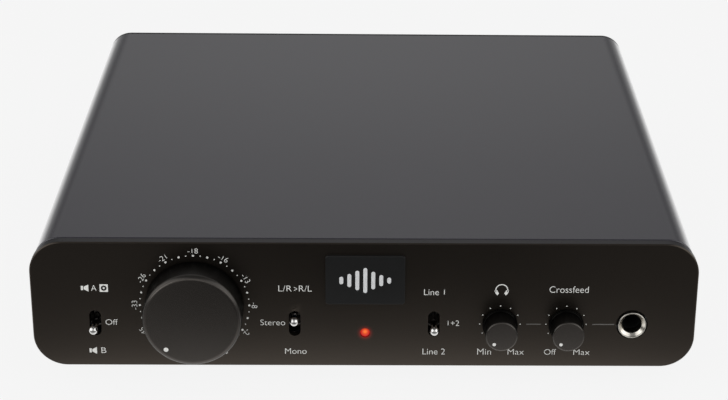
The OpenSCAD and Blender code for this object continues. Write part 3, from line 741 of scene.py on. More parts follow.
RECIPES = {
    "case_coat": dict(rough=0.16, grain=0.3, grain_scale=2600, blotch=0.15, blotch_scale=22, spread=0.04,
                      bump=0.08, bump_depth=0.01, specular=0.5, coat=1.0, coat_rough=0.1, dust=0.06),
    "panel_coat": dict(rough=0.3, grain=0.15, grain_scale=4200, blotch=0.12, blotch_scale=30, spread=0.06,
                       bump=0.08, metal=0.94, edge=0.45),
    "badge_plastic": dict(rough=0.4, grain=0.2, grain_scale=5000, bump=0.08),
    "knob_plastic": dict(rough=0.25, grain=0.1, grain_scale=4500, blotch=0.1, blotch_scale=60, spread=0.06,
                         bump=0.08, metal=0.98, edge=0.5),
    "pointer_white": dict(rough=0.55, grain=0.12, bump=0.05),
    "tray_metal": dict(shade=(0.56, 0.56, 0.57), rough=0.36, grain=0.1, blotch=0.15, metal=1.0),
    "rear_coat": dict(shade=(0.020, 0.020, 0.021), rough=0.5, grain=0.5, grain_scale=2600, blotch=0.2,
                      bump=0.35, bump_depth=0.03, specular=0.4),
    "zinc": dict(shade=(0.62, 0.63, 0.66), rough=0.28, grain=0.12, blotch=0.25, blotch_scale=250, metal=1.0),
    "black_screw": dict(shade=(0.035, 0.035, 0.036), rough=0.35, grain=0.2, metal=0.6),
    "foot_rubber": dict(shade=(0.018, 0.018, 0.018), rough=0.8, grain=0.3, grain_scale=1800, bump=0.4,
                        specular=0.3),
    "shaft_metal": dict(shade=(0.55, 0.55, 0.56), rough=0.3, grain=0.1, metal=1.0),
    "pot_metal": dict(shade=(0.21, 0.23, 0.25), rough=0.45, grain=0.2, blotch=0.15),
    "switch_plastic": dict(shade=(0.03, 0.09, 0.30), rough=0.5, grain=0.2, blotch=0.1),
    "lever_chrome": dict(shade=(0.88, 0.87, 0.85), rough=0.09, grain=0.04, blotch=0.04, spread=0.05,
                         bump=0.03, metal=1.0),
    "white_plastic": dict(shade=(0.80, 0.80, 0.77), rough=0.45, grain=0.08, blotch=0.06),
    "socket_plastic": dict(shade=(0.016, 0.016, 0.017), rough=0.42, grain=0.3, blotch=0.1, bump=0.2,
                           bump_depth=0.03),
    "ring_chrome": dict(shade=(0.92, 0.88, 0.80), rough=0.24, grain=0.05, blotch=0.06, spread=0.08,
                        bump=0.04, metal=1.0),
    "header_plastic": dict(shade=(0.62, 0.55, 0.34), rough=0.5, grain=0.1),
    "capacitor_sleeve": dict(shade=(0.02, 0.03, 0.10), rough=0.25, grain=0.1, blotch=0.1, coat=0.3),
    "chip_black": dict(shade=(0.022, 0.022, 0.022), rough=0.6, grain=0.3, grain_scale=5000, bump=0.2),
    "sink_black": dict(shade=(0.05, 0.05, 0.05), rough=0.4, grain=0.2, metal=0.8),
    # Painted light: a lighter copy of the panel's finish, for its outer edge faces
    "panel_edge": dict(rough=0.3, grain=0.12, bump=0.06, metal=0.9, edge=0.6),
    "badge_silver": dict(rough=0.25, grain=0.1, grain_scale=6000, metal=0.15),
    "knob_rim": dict(rough=0.3, grain=0.1, metal=0.95),
    "knob_side": dict(rough=0.4, grain=0.1, metal=0.95, edge=0.5),
    "grey_ink": dict(rough=0.5, grain=0.12),
    "sign_hole": dict(shade=(0.012, 0.011, 0.010), rough=0.5, grain=0.2),
    "bushing_metal": dict(shade=(0.30, 0.29, 0.28), rough=0.3, grain=0.1, metal=1.0),
    "light_red": dict(shade=(0.08, 0.002, 0.002), rough=0.3, bump=0.02, specular=0.2),
    "board_green": dict(shade=(0.012, 0.085, 0.035), rough=0.35, grain=0.1, coat=0.4),
}

SLOTS = {part["node"]: part["material_slot"] for part in frame["record"]["subparts"]}
PAINTS = {}


def paint(name):
    """The finish of that name, made once."""
    if name not in PAINTS:
        values = dict(RECIPES[name])
        if name in COLOURED:
            values["shade"] = getattr(bpy.context.scene.controller_finish, COLOURED[name])
        PAINTS[name] = finish(name, **values)
    return PAINTS[name]


def dress(obj, slot, body=ROOT, *replaced, look=None):
    """Gives a new piece its finish and its body, and hides the nodes that it stands for."""
    obj.data.materials.clear()
    obj.data.materials.append(paint(look or slot))
    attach(obj, body)
    if replaced:
        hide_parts(*replaced)
    return obj


def dress_faces(obj, look, test):
    """Gives the faces for which test(face) holds a finish of their own."""
    select_only(obj)
    bpy.ops.object.material_slot_add()
    obj.material_slots[-1].material = paint(look)
    with editing(obj):
        pick(obj, "FACE", test)
        bpy.ops.object.material_slot_assign()


# ---------- pieces ----------


def plate(name, node, corner, rim=0.0, steps=1):
    """A plate as large as a CAD node, with rounded corners and its front edge taken off in some steps."""
    low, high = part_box(node)
    obj = round_edges(block(name, low, high), runs_along_y, corner, CORNER_STEPS)
    if rim:
        round_edges(obj, lies_at_y(low.y), rim, steps)
    return obj


def refine(node, width, look=None):
    """Finishes a CAD node as it is, with its edges rounded."""
    body = frame["nodes"][node]["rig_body"]
    dress(softened(node, width), SLOTS[node], body, node, look=look)


class CaseOperator(Operator):
    """Model the sleeve of the case"""

    bl_idname = "controller.case"
    bl_label = "Case"

    def execute(self, context):
        sizes = context.scene.controller_case
        sleeve = plate("sleeve", "case_sleeve", sizes.sleeve_corner)
        with editing(sleeve):
            pick(sleeve, "FACE", lambda face: abs(face.normal.y) > ALIGNED)
            bpy.ops.mesh.delete(type="ONLY_FACE")
        modify(sleeve, "SOLIDIFY", thickness=sizes.sleeve_wall, offset=-1, use_even_offset=True)
        soften(sleeve, sizes.sleeve_lip, 3)
        dress(sleeve, "case_coat", ROOT, "case_sleeve")
        return {"FINISHED"}


class FrontPanelOperator(Operator):
    """Model the front panel with its slots and holes"""

    bl_idname = "controller.front_panel"
    bl_label = "Front panel"

    # What cuts the panel reaches from 1 mm ahead of it to 1 mm behind it
    FRONT = FACE_Y - MM
    BACK = PANEL_HIGH.y + MM
    # Corner radius of a slot as a share of its width, which leaves its ends round
    SLOT_END = 0.4999
    # Painted light: a red glow painted into the panel's finish round the light, as the lens would throw it,
    # and how far it reaches
    PAINTED_GLOW = (0.14, 0.004, 0.003)
    PAINTED_GLOW_REACH = 2.2 * LIGHT_RADIUS
    # The panel's outside lies within this way of its box, and every hole lies further in
    EDGE_ZONE = 3.2 * MM
    # A face looks sideways when less than this of its direction is along y
    SIDEWAYS = 0.5

    def execute(self, context):
        sizes = context.scene.controller_case
        panel = plate("panel", "front_panel", sizes.panel_corner, sizes.panel_rim)
        for switch in SWITCHES:
            cut(panel, self.slot(axis_point(f"{switch}_switch"), sizes))
        for node, gap in (("headphone_ring", sizes.socket_gap), ("volume_shaft", sizes.shaft_gap),
                          ("headphone_shaft", sizes.shaft_gap), ("crossfeed_shaft", sizes.shaft_gap)):
            cut(panel, self.hole(axis_point(node), round_extent(node)[0] + gap))
        light = axis_point("power_light")
        cut(panel, self.hole(light, LIGHT_RADIUS + sizes.light_gap))
        soften(panel, sizes.hole_edge)
        dress(panel, "panel_coat", ROOT, "front_panel")
        # Painted light: the outer edge faces get a lighter copy of the panel's finish, for the light that
        # falls on its top strip
        dress_faces(panel, "panel_edge", self.on_edge)
        # Painted light: the panel's own finish glows red round the power light
        shine(paint("panel_coat"), light, LIGHT_RADIUS, self.PAINTED_GLOW_REACH, self.PAINTED_GLOW, (0, 0, 0))
        return {"FINISHED"}

    def on_edge(self, face):
        """Holds for the faces round the outside of the panel."""
        centre = face.calc_center_median()
        margin = min(min(value - low, high - value)
                     for low, value, high in zip(PANEL_LOW.xz, centre.xz, PANEL_HIGH.xz))
        return abs(face.normal.y) < self.SIDEWAYS and margin < self.EDGE_ZONE

    def hole(self, centre, radius):
        """A cutter for a round hole."""
        return rod("hole", centre, radius, self.FRONT, self.BACK)

    def slot(self, centre, sizes):
        """A cutter for an upright slot with round ends."""
        half = Vector((sizes.slot_width / 2, 0, sizes.slot_height / 2))
        low = Vector((centre.x, self.FRONT, centre.z)) - half
        high = Vector((centre.x, self.BACK, centre.z)) + half
        return round_edges(block("slot", low, high), runs_along_y, sizes.slot_width * self.SLOT_END, 12)


class BadgeOperator(Operator):
    """Model the badge plate with its silver level bars"""

    bl_idname = "controller.badge"
    bl_label = "Badge"

    # Heights of the bars as shares of the tallest, and its height as a share of the badge's
    BARS = (0.30, 0.52, 0.78, 1.0, 0.70, 0.44, 0.24)
    TALLEST = 0.52
    # Pitch of the bars as a share of the badge's width, and width and corner of a bar as shares of the pitch
    PITCH = 0.1
    THICK = 0.5
    CORNER = 0.245
    # How far the bars stand out of the badge
    PROUD = 0.12 * MM

    def execute(self, context):
        sizes = context.scene.controller_case
        badge = smooth(plate("badge", "badge_plate", sizes.badge_corner, sizes.badge_rim, 3))
        dress(badge, "badge_plastic", ROOT, "badge_plate")
        dress(self.bars(), "badge_plastic", ROOT, look="badge_silver")
        return {"FINISHED"}

    def bars(self):
        """A row of upright rounded bars, as on a level meter."""
        front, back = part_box("badge_plate")
        place = middle("badge_plate")
        pitch = (back.x - front.x) * self.PITCH
        tallest = (back.z - front.z) * self.TALLEST
        pieces = []
        for i, share in enumerate(self.BARS):
            x = place.x + (i - (len(self.BARS) - 1) / 2) * pitch
            half = Vector((pitch * self.THICK / 2, 0, tallest * share / 2))
            low = Vector((x, front.y - self.PROUD, place.z)) - half
            high = Vector((x, front.y + self.PROUD, place.z)) + half
            piece = round_edges(block("bar", low, high), runs_along_y, pitch * self.CORNER, 5)
            pieces.append(round_edges(piece, lies_at_y(low.y), self.PROUD / 2, 2))
        return smooth(join("badge_bars", pieces))


class KnobsOperator(Operator):
    """Model the three knobs with their pointer dots"""

    bl_idname = "controller.knobs"
    bl_label = "Knobs"

    # Painted shade on a knob's rim and sides: how far ahead of the panel it begins to darken them, and how
    # dark it makes them at the panel
    FADE = 9 * MM
    DEEPEST_SHADE = 0.92
    # Where the rim's finish begins behind the face, as a share of its rounding
    RIM_FROM = 0.1
    # Rounding of the edges of a knob's base, of a pointer dot and of a shaft, and how deep a dot lies
    EDGE = 0.15 * MM
    DOT_EDGE = 0.08 * MM
    SHAFT_EDGE = 0.3 * MM
    SUNK = 0.03 * MM

    def execute(self, context):
        sizes = context.scene.controller_knobs
        # Painted shade: the knobs' rims and sides grow darker towards the panel
        for look in ("knob_rim", "knob_side"):
            self.paint_shade_near_panel(paint(look))
        for dial, rim, skirt in (("volume", sizes.volume_rim, 0.0),
                                 ("headphone", sizes.small_rim, sizes.skirt),
                                 ("crossfeed", sizes.small_rim, sizes.skirt)):
            knob = self.knob(dial, rim, skirt, sizes)
            dress(knob, "knob_plastic", f"{dial}_dial", f"{dial}_knob")
            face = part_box(f"{dial}_knob")[0].y
            for look, start in (("knob_rim", face + self.RIM_FROM * rim), ("knob_side", face + rim)):
                dress_faces(knob, look, lambda side: side.calc_center_median().y > start)
            dress(self.dot(dial), "pointer_white", f"{dial}_dial", f"{dial}_pointer")
            refine(f"{dial}_shaft", self.SHAFT_EDGE)
        return {"FINISHED"}

    def knob(self, dial, rim, skirt, sizes):
        """A turned cap with a rounded face edge, a shaft bore and, on the small ones, a thin skirt."""
        radius, front, back = round_extent(f"{dial}_knob")
        bore, depth, edge = sizes.bore, front + sizes.face_wall, self.EDGE
        outline = [(0, front)]
        outline += arc(radius - rim, front + rim, rim, -90, 0)
        if skirt:
            top = back - sizes.skirt_height
            outline += [(radius, top - edge), (radius + edge, top)]
            outline += arc(radius + skirt - edge, top + edge, edge, -90, 0, 3)
            outline += [(radius + skirt, back)]
        else:
            outline += [(radius, back - edge), (radius - edge, back)]
        outline += [(bore + edge, back), (bore, back - edge), (bore, depth), (0, depth)]
        knob = turned(f"{dial}_cap", outline, axis_point(f"{dial}_knob"), LARGE_STEPS)
        low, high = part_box(f"{dial}_pointer")
        size = (high.x - low.x) / 2
        cut(knob, rod("dimple", (low + high) / 2, size, FACE_Y + front - MM, high.y, SMALL_STEPS))
        return smooth(knob)

    def paint_shade_near_panel(self, material):
        """Paints shade on a finish, darkening it from FADE ahead of the panel to the panel, where the panel
        shades the knob.
        """
        tree = material.node_tree
        depth = minus(tree, x_y_z(tree, object_point(tree))["Y"], FACE_Y - self.FADE)
        share = add_math(tree, "DIVIDE", depth, self.FADE)
        share = at_most(tree, at_least(tree, share, 0.0), self.DEEPEST_SHADE)
        lay_over(material, share, (0, 0, 0))

    def dot(self, dial):
        """A disc of paint that fills the dimple in the knob's face."""
        low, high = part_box(f"{dial}_pointer")
        size, depth = (high.x - low.x) / 2, high.y - low.y
        centre = (low + high) / 2
        centre.y = low.y
        sunk, edge = self.SUNK, self.DOT_EDGE
        outline = [(0, sunk), (size - edge, sunk), (size, sunk + edge), (size, depth), (0, depth)]
        return smooth(turned(f"{dial}_dot", outline, centre, SMALL_STEPS))


class TogglesOperator(Operator):
    """Model the three toggle levers and their bushings"""

    bl_idname = "controller.toggles"
    bl_label = "Toggles"

    # How far behind its tip's middle a lever has narrowed, and how far ahead of the ball its neck ends
    TAPER = 4 * MM
    NECK = 0.6 * MM
    # How far round the tip and the ball go, in degrees from straight ahead and from the side
    TIP_END = 55
    BALL_END = 60
    # Rounding of the edges of a lever and of the bushings
    EDGE = 0.2 * MM
    BUSHING_EDGE = 0.08 * MM

    def execute(self, context):
        sizes = context.scene.controller_knobs
        joints = {joint["child"]: joint for joint in frame["joints"]}
        # The speaker lever rests straight, so its box gives the length of all three
        reach = joints["speaker_toggle"]["pos_m"][1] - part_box("speaker_lever")[0].y - sizes.tip
        for switch in SWITCHES:
            body = f"{switch}_toggle"
            lever = self.lever(switch, Vector(joints[body]["pos_m"]), reach, sizes)
            self.tilt(lever, joints[body])
            dress(lever, "lever_chrome", body, f"{switch}_lever")
        refine("switch_bushings", self.BUSHING_EDGE, look="bushing_metal")
        return {"FINISHED"}

    def lever(self, switch, pivot, reach, sizes):
        """A tapered lever with a round tip and a ball at its pivot."""
        waist, ball, tail, edge = sizes.waist, sizes.ball, sizes.tail, self.EDGE
        outline = arc(0, -reach, sizes.tip, -90, self.TIP_END, 14)
        outline += [(waist + edge, self.TAPER - reach), (waist, -ball - self.NECK)]
        outline += arc(0, 0, ball, -self.BALL_END, self.BALL_END, 12)
        outline += [(waist, ball + edge), (waist, tail - edge), (waist - edge, tail), (0, tail)]
        return smooth(turned(f"{switch}_bat", outline, pivot, MIDDLE_STEPS), ROUND_SHARP)

    def tilt(self, lever, joint):
        """Turns a lever from its straight place to where it rests, which is not always mid-travel."""
        pivot = Vector(joint["pos_m"])
        turn = Matrix.Rotation(math.radians(-sum(joint["range_deg"]) / 2), 4, "X")
        lever.matrix_world = Matrix.Translation(pivot) @ turn @ Matrix.Translation(-pivot)
        apply_place(lever)


class LightOperator(Operator):
    """Model the power light"""

    bl_idname = "controller.light"
    bl_label = "Power light"

    # Thickness of the flange at the lens's back
    FLANGE = MM
    # The brightest spot, up and ahead of the dome's middle in radii, its width and how far it reaches
    HOTTEST = Vector((0, -0.88, 0.47))
    CORE = 0.25 * MM
    REACH = 1.4 * LIGHT_RADIUS

    def execute(self, context):
        colours = context.scene.controller_finish
        centre = axis_point("power_light")
        radius = LIGHT_RADIUS
        flange, front, back = round_extent("power_light")
        step = back - self.FLANGE
        outline = arc(0, front + radius, radius, -90, 0, 10)
        outline += [(radius, step), (flange, step), (flange, back), (0, back)]
        lens = smooth(turned("light_lens", outline, centre, MIDDLE_STEPS), ROUND_SHARP)
        dress(lens, "light_red", ROOT, "power_light")
        hottest = centre + BACKWARDS * (front + radius) + self.HOTTEST * radius
        shine(paint("light_red"), hottest, self.CORE, self.REACH, colours.light_core, colours.light_edge)
        return {"FINISHED"}


class HeadphoneSocketOperator(Operator):
    """Model the headphone socket and its bright ring"""

    bl_idname = "controller.headphone_socket"
    bl_label = "Headphone socket"

    def execute(self, context):
        sizes = context.scene.controller_case
        radius, front, back = round_extent("headphone_ring")
        bore, lip = PLUG_RADIUS, sizes.ring_lip
        outer = radius - sizes.ring_inset
        mouth = outer - lip
        cone = mouth - bore
        outline = [(bore, back), (bore, front + lip + cone), (mouth, front + lip)]
        outline += arc(mouth + lip / 2, front + lip / 2, lip / 2, 180, 360, 8)
        outline += [(outer, back), (bore, back)]
        ring = turned("socket_ring", outline, axis_point("headphone_ring"), LARGE_STEPS)
        smooth(ring, RING_SHARP)
        dress(ring, "ring_chrome", ROOT, "headphone_ring")
        refine("headphone_socket", sizes.small_edge)
        return {"FINISHED"}


class PrintingOperator(Operator):
    """Print the words, scales and signs on the panels"""

    bl_idname = "controller.printing"
    bl_label = "Printing"

    # How much thinner than the font its strokes are, as a share of the letters' height
    THINNER = -0.012
    # Word, its left and right ends, its middle above the panel's lower edge, and its height, in millimetres
    WORDS = (
        ("A", -85.95, -84.3, 27.35, 1.95),
        ("Off", -81.99, -78.11, 15.40, 1.95),
        ("B", -83.80, -82.23, 5.35, 1.95),
        ("L/R", -27.30, -23.10, 27.40, 2.05),
        (">", -22.45, -21.40, 27.25, 1.45),
        ("R/L", -20.85, -16.80, 27.40, 2.05),
        ("Stereo", -33.14, -25.32, 15.45, 2.0),
        ("Mono", -25.44, -18.61, 5.25, 1.95),
        ("Line 1", 18.54, 25.45, 26.30, 2.1),
        ("1+2", 25.74, 29.81, 15.38, 1.95),
        ("Line 2", 18.36, 25.53, 5.25, 2.1),
        ("Min", 35.84, 40.26, 5.25, 2.1),
        ("Max", 45.55, 50.75, 5.20, 1.95),
        ("Crossfeed", 58.10, 70.45, 27.35, 2.25),
        ("Off", 57.25, 61.05, 5.20, 1.95),
        ("Max", 66.60, 71.80, 5.15, 1.95),
    )
    # Words on the volume scale, each at its angle clockwise from the top
    LEVELS = ((-150, "-70"), (-120, "-45"), (-90, "-33"), (-60, "-26"), (-30, "-21"), (0, "-18"),
              (30, "-16"), (60, "-13"), (90, "-8"), (120, "-2"), (150, "0"))
    # Word on the back, its middle across and above the floor, and its height, in millimetres
    REAR_WORDS = (
        ("Line 2", 76.95, 45.3, 2.3),
        ("L", 76.95, 36.4, 2.0),
        ("R", 76.95, 22.4, 2.0),
        ("Line 1", 43.6, 38.0, 2.3),
        ("A", 8.5, 38.0, 2.3),
        ("B", -26.5, 38.0, 2.3),
        ("Sub", -52.86, 33.2, 2.3),
        ("DC", -68.4, 31.5, 2.0),
        ("Power", -83.95, 42.0, 2.3),
    )
    # Points on each curve of a letter, and its depth before it is scaled to the ink's
    CURVE_STEPS = 6
    DEPTH = 0.1
    # Degrees between the dots of the volume scale and of a small knob's, and the dots on each side of the top
    VOLUME_DOTS = (7.5, 20)
    DIAL_DOTS = (30, 4)
    # Letters above the pairs of rear sockets, from the first socket to the last
    PAIRS = "LRLRLR"
    # Width of a rear socket's nut, and the letters' way above the nuts and height, in millimetres
    NUT_WIDTH = 13.2
    NUT_CLEAR = 3.2
    LETTER = 2.0
    # Left and right ends of the lines between the dials and the socket
    LINES = ((51.15, 55.80), (72.20, 79.19))
    # Signs, each at its left end or its middle and above the panel's lower edge, in millimetres
    SPEAKER_SIGNS = ((-89.15, 27.3), (-87.55, 5.3))
    HEADPHONE_SIGN = (43.0, 27.1)
    SUB_SIGN = (-82.0, 27.3)
    # A loudspeaker sign's box, and how far right its cone begins and ends with half its height there
    BOX_WIDTH = 0.68
    BOX_HEIGHT = 1.45
    CONE = ((0.92, 0.45), (2.35, 1.2))
    # A headphone sign's headband and cups: radii in metres and angles from the top
    BAND = (1.75 * MM, 2.05 * MM)
    BAND_END = 112
    CUP = (1.35 * MM, 2.25 * MM)
    CUP_START = 92
    CUP_END = 144
    # Side of the subwoofer's square, and its discs: name, radius, height in layers of ink, sides and finish
    SQUARE = 2.6 * MM
    SUB_DISCS = (
        ("sub_cone", 0.92 * MM, 1.5, 28, "sign_hole"),
        ("sub_cap", 0.33 * MM, 2.1, 20, "pointer_white"),
    )
    # How thick flat shapes are as a share of how far they stand out, so that they reach into the panel
    SEATED = 1.2
    # A loose part of a word is a figure one when it is this narrow for its height and this tall
    NARROW = 0.25
    TALL = 0.9
    # A figure one's added strokes: name, way right of its middle and above its bottom, length, as shares of
    # its height, depth as a share of its own, and degrees from level. Then their thickness as such a share.
    STROKES = (("flag", -0.13, 0.85, 0.40, 0.90, 36), ("foot", 0.0, 0.055, 0.52, 0.95, 0))
    STROKE = 0.11

    def execute(self, context):
        sizes = context.scene.controller_ink
        ink = "pointer_white"
        dress(join("panel_words", self.panel_words()), ink)
        dress(join("volume_levels", self.levels(sizes)), ink)
        dress(self.raised("volume_scale", self.volume_dots(sizes)), ink)
        dress(self.raised("dial_scales", self.dial_dots(sizes)), ink)
        dress(join("rear_words", self.rear_words()), ink)
        layer = sizes.thickness / MM
        dress(self.raised("panel_signs", self.signs(layer)), ink)
        for name, radius, layers, sides, look in self.SUB_DISCS:
            place = on_face(*self.SUB_SIGN, layers * layer)
            dress(self.raised(name, [disc(name, place, radius, sides)]), ink, look=look)
        dress(self.raised("dial_lines", self.lines(layer, sizes.line_width)), ink, look="grey_ink")
        return {"FINISHED"}

    def raised(self, name, shapes):
        """Joins flat shapes and gives them the thickness of ink."""
        thickness = bpy.context.scene.controller_ink.thickness * self.SEATED
        return modify(join(name, shapes), "SOLIDIFY", thickness=thickness, offset=-1)

    def panel_words(self):
        """The words on the front panel."""
        return [self.word(text, on_face((x0 + x1) / 2, z), (x1 - x0) * MM, height * MM)
                for text, x0, x1, z, height in self.WORDS]

    def lines(self, proud, width):
        """The thin lines between the dials and the socket."""
        z = (middle("headphone_shaft").z - PANEL_LOW.z) / MM
        return [bar("line", on_face((x0 + x1) / 2, z, proud), (x1 - x0) * MM, width) for x0, x1 in self.LINES]

    def rear_words(self):
        """The words on the rear panel, with a letter above each socket of a pair."""
        panel_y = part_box("rear_panel")[1].y
        low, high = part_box("rear_socket_nuts")
        half = self.NUT_WIDTH * MM / 2
        pitch = (high.x - low.x - 2 * half) / len(self.PAIRS)
        above = high.z + self.NUT_CLEAR * MM
        words = [self.word(text, Vector((x * MM, panel_y, z * MM)), 0.0, height * MM, facing=180)
                 for text, x, z, height in self.REAR_WORDS]
        for i, letter in enumerate(self.PAIRS):
            place = Vector((high.x - half - i * pitch, panel_y, above))
            words.append(self.word(letter, place, 0.0, self.LETTER * MM, facing=180))
        return words

    def word(self, text, place, width, height, turn=0.0, facing=0.0):
        """Lettering with its middle at place, turned clockwise by degrees. A width of 0 keeps its shape."""
        ink = bpy.context.scene.controller_ink.thickness
        select_only()
        bpy.ops.object.text_add()
        letters = bpy.context.object.data
        letters.body = text
        letters.resolution_u = self.CURVE_STEPS
        letters.extrude = self.DEPTH
        letters.offset = self.THINNER
        bpy.ops.object.convert(target="MESH")
        obj = self.with_flags(named("word"))
        low, high = corners(obj)
        span = high - low
        wide = width / span.x if width else height / span.y
        scale = Matrix.Diagonal((wide, height / span.y, 2 * ink / span.z, 1))
        upright = Matrix.Rotation(math.radians(facing), 4, "Z") @ Matrix.Rotation(math.radians(90), 4, "X")
        spin = Matrix.Rotation(math.radians(turn), 4, "Y")
        centred = Matrix.Translation(-(low + high) / 2)
        obj.matrix_world = Matrix.Translation(place) @ spin @ upright @ scale @ centred
        return apply_place(obj)

    def with_flags(self, obj):
        """Adds the flag and the foot of each figure one, which this font draws as a plain bar."""
        select_only(obj)
        bpy.ops.mesh.separate(type="LOOSE")
        parts = list(bpy.context.selected_objects)
        tallest = max(corners(part)[1].y for part in parts)
        for part in list(parts):
            low, high = corners(part)
            height = high.y - low.y
            if high.x - low.x < self.NARROW * height and height > self.TALL * tallest:
                parts += self.flag_and_foot(low, high)
        return join("word", parts)

    def flag_and_foot(self, low, high):
        """A short bar that slants down to the left from a figure's top, and a level bar at its bottom."""
        tall = high.y - low.y
        x, z = (low.x + high.x) / 2, (low.z + high.z) / 2
        pieces = []
        for name, right, above, long, depth, turn in self.STROKES:
            select_only()
            bpy.ops.mesh.primitive_cube_add(
                size=1, location=(x + right * tall, low.y + above * tall, z),
                rotation=(0, 0, math.radians(turn)),
                scale=(long * tall, self.STROKE * tall, depth * (high.z - low.z)))
            pieces.append(apply_place(named(name)))
        return pieces

    def levels(self, sizes):
        """The levels round the volume knob."""
        axis = axis_point("volume_shaft")
        return [self.word(text, on_circle(axis, sizes.digit_radius, turn), 0.0, sizes.digit_height, turn)
                for turn, text in self.LEVELS]

    def volume_dots(self, sizes):
        """The dots of the volume scale, every second one large."""
        axis = axis_point("volume_shaft") - BACKWARDS * sizes.thickness
        step, count = self.VOLUME_DOTS
        return [disc("dot", on_circle(axis, sizes.scale_radius, step * i),
                     sizes.small_dot if i % 2 else sizes.large_dot) for i in range(-count, count + 1)]

    def dial_dots(self, sizes):
        """The dots round both small knobs."""
        step, count = self.DIAL_DOTS
        shapes = []
        for dial in ("headphone", "crossfeed"):
            axis = axis_point(f"{dial}_shaft") - BACKWARDS * sizes.thickness
            shapes += [disc("dot", on_circle(axis, sizes.dial_radius, step * i), sizes.dial_dot)
                       for i in range(-count, count + 1)]
        return shapes

    def signs(self, proud):
        """The loudspeakers, the headphones and the subwoofer's square."""
        shapes = []
        for left, z in self.SPEAKER_SIGNS:
            shapes += self.speaker_sign(left, z, proud)
        shapes += self.headphone_sign(on_face(*self.HEADPHONE_SIGN, proud))
        return shapes + [bar("square", on_face(*self.SUB_SIGN, proud), self.SQUARE, self.SQUARE)]

    def speaker_sign(self, left, z, proud):
        """A loudspeaker seen from the side: a box and a cone that opens to the right."""
        place = on_face(left + self.BOX_WIDTH / 2, z, proud)
        box = bar("box", place, self.BOX_WIDTH * MM, self.BOX_HEIGHT * MM)
        (x0, small), (x1, large) = self.CONE
        cone = [(x0, -small), (x1, -large), (x1, large), (x0, small)]
        return [box, flat_shape("cone", [on_face(left + x, z + dz, proud) for x, dz in cone])]

    def headphone_sign(self, centre):
        """A headband with a cup at each end."""
        band = ring_strip("band", centre, self.BAND, -self.BAND_END, self.BAND_END, 24)
        return [band] + [ring_strip("cup", centre, self.CUP, side * self.CUP_START, side * self.CUP_END, 10)
                         for side in (-1, 1)]


def refine_all(parts):
    """Finishes CAD nodes as they are, each with its rounding in millimetres."""
    for node, edge in parts:
        refine(node, edge * MM)


class RearOperator(Operator):
    """Finish the rear panel, its connectors and its power switch"""

    bl_idname = "controller.rear"
    bl_label = "Rear panel"

    PARTS = (
        ("rear_panel", 0.15), ("rear_screws", 0.25), ("rear_sockets", 0.25), ("rear_socket_nuts", 0.2),
        ("phono_block", 0.2), ("phono_shells", 0.12), ("phono_inserts", 0.1), ("power_inlet", 0.2),
        ("power_inlet_pin", 0.3), ("power_switch", 0.3), ("power_rocker", 0.25),
    )

    def execute(self, context):
        refine_all(self.PARTS)
        return {"FINISHED"}


class FeetOperator(Operator):
    """Finish the rubber feet with their screws and nuts"""

    bl_idname = "controller.feet"
    bl_label = "Feet"

    PARTS = (("rubber_feet", 0.6), ("foot_screws", 0.4), ("foot_nuts", 0.15))

    def execute(self, context):
        refine_all(self.PARTS)
        return {"FINISHED"}


class InsideOperator(Operator):
    """Finish the tray, the boards and all that stands inside the case"""

    bl_idname = "controller.inside"
    bl_label = "Inside"

    # The tracks under a board's solder mask: fields between them in a metre, their width and their colour
    FIELDS = 160
    TRACK = 0.05
    TRACK_GREEN = (0.03, 0.17, 0.06)

    def execute(self, context):
        self.add_tracks(paint("board_green"))
        for name, node in frame["nodes"].items():
            if node.hide_render:
                continue
            for slot in node.material_slots:
                slot.material = paint(SLOTS[name])
        return {"FINISHED"}

    def add_tracks(self, material):
        """Lighter tracks under a board's solder mask."""
        tree = material.node_tree
        cells = add_node(tree, "TexVoronoi", {"feature": "DISTANCE_TO_EDGE"}, vector=object_point(tree),
                         scale=self.FIELDS)
        tracks = add_math(tree, "LESS_THAN", cells.outputs["Distance"], self.TRACK)
        lay_over(material, tracks, self.TRACK_GREEN)


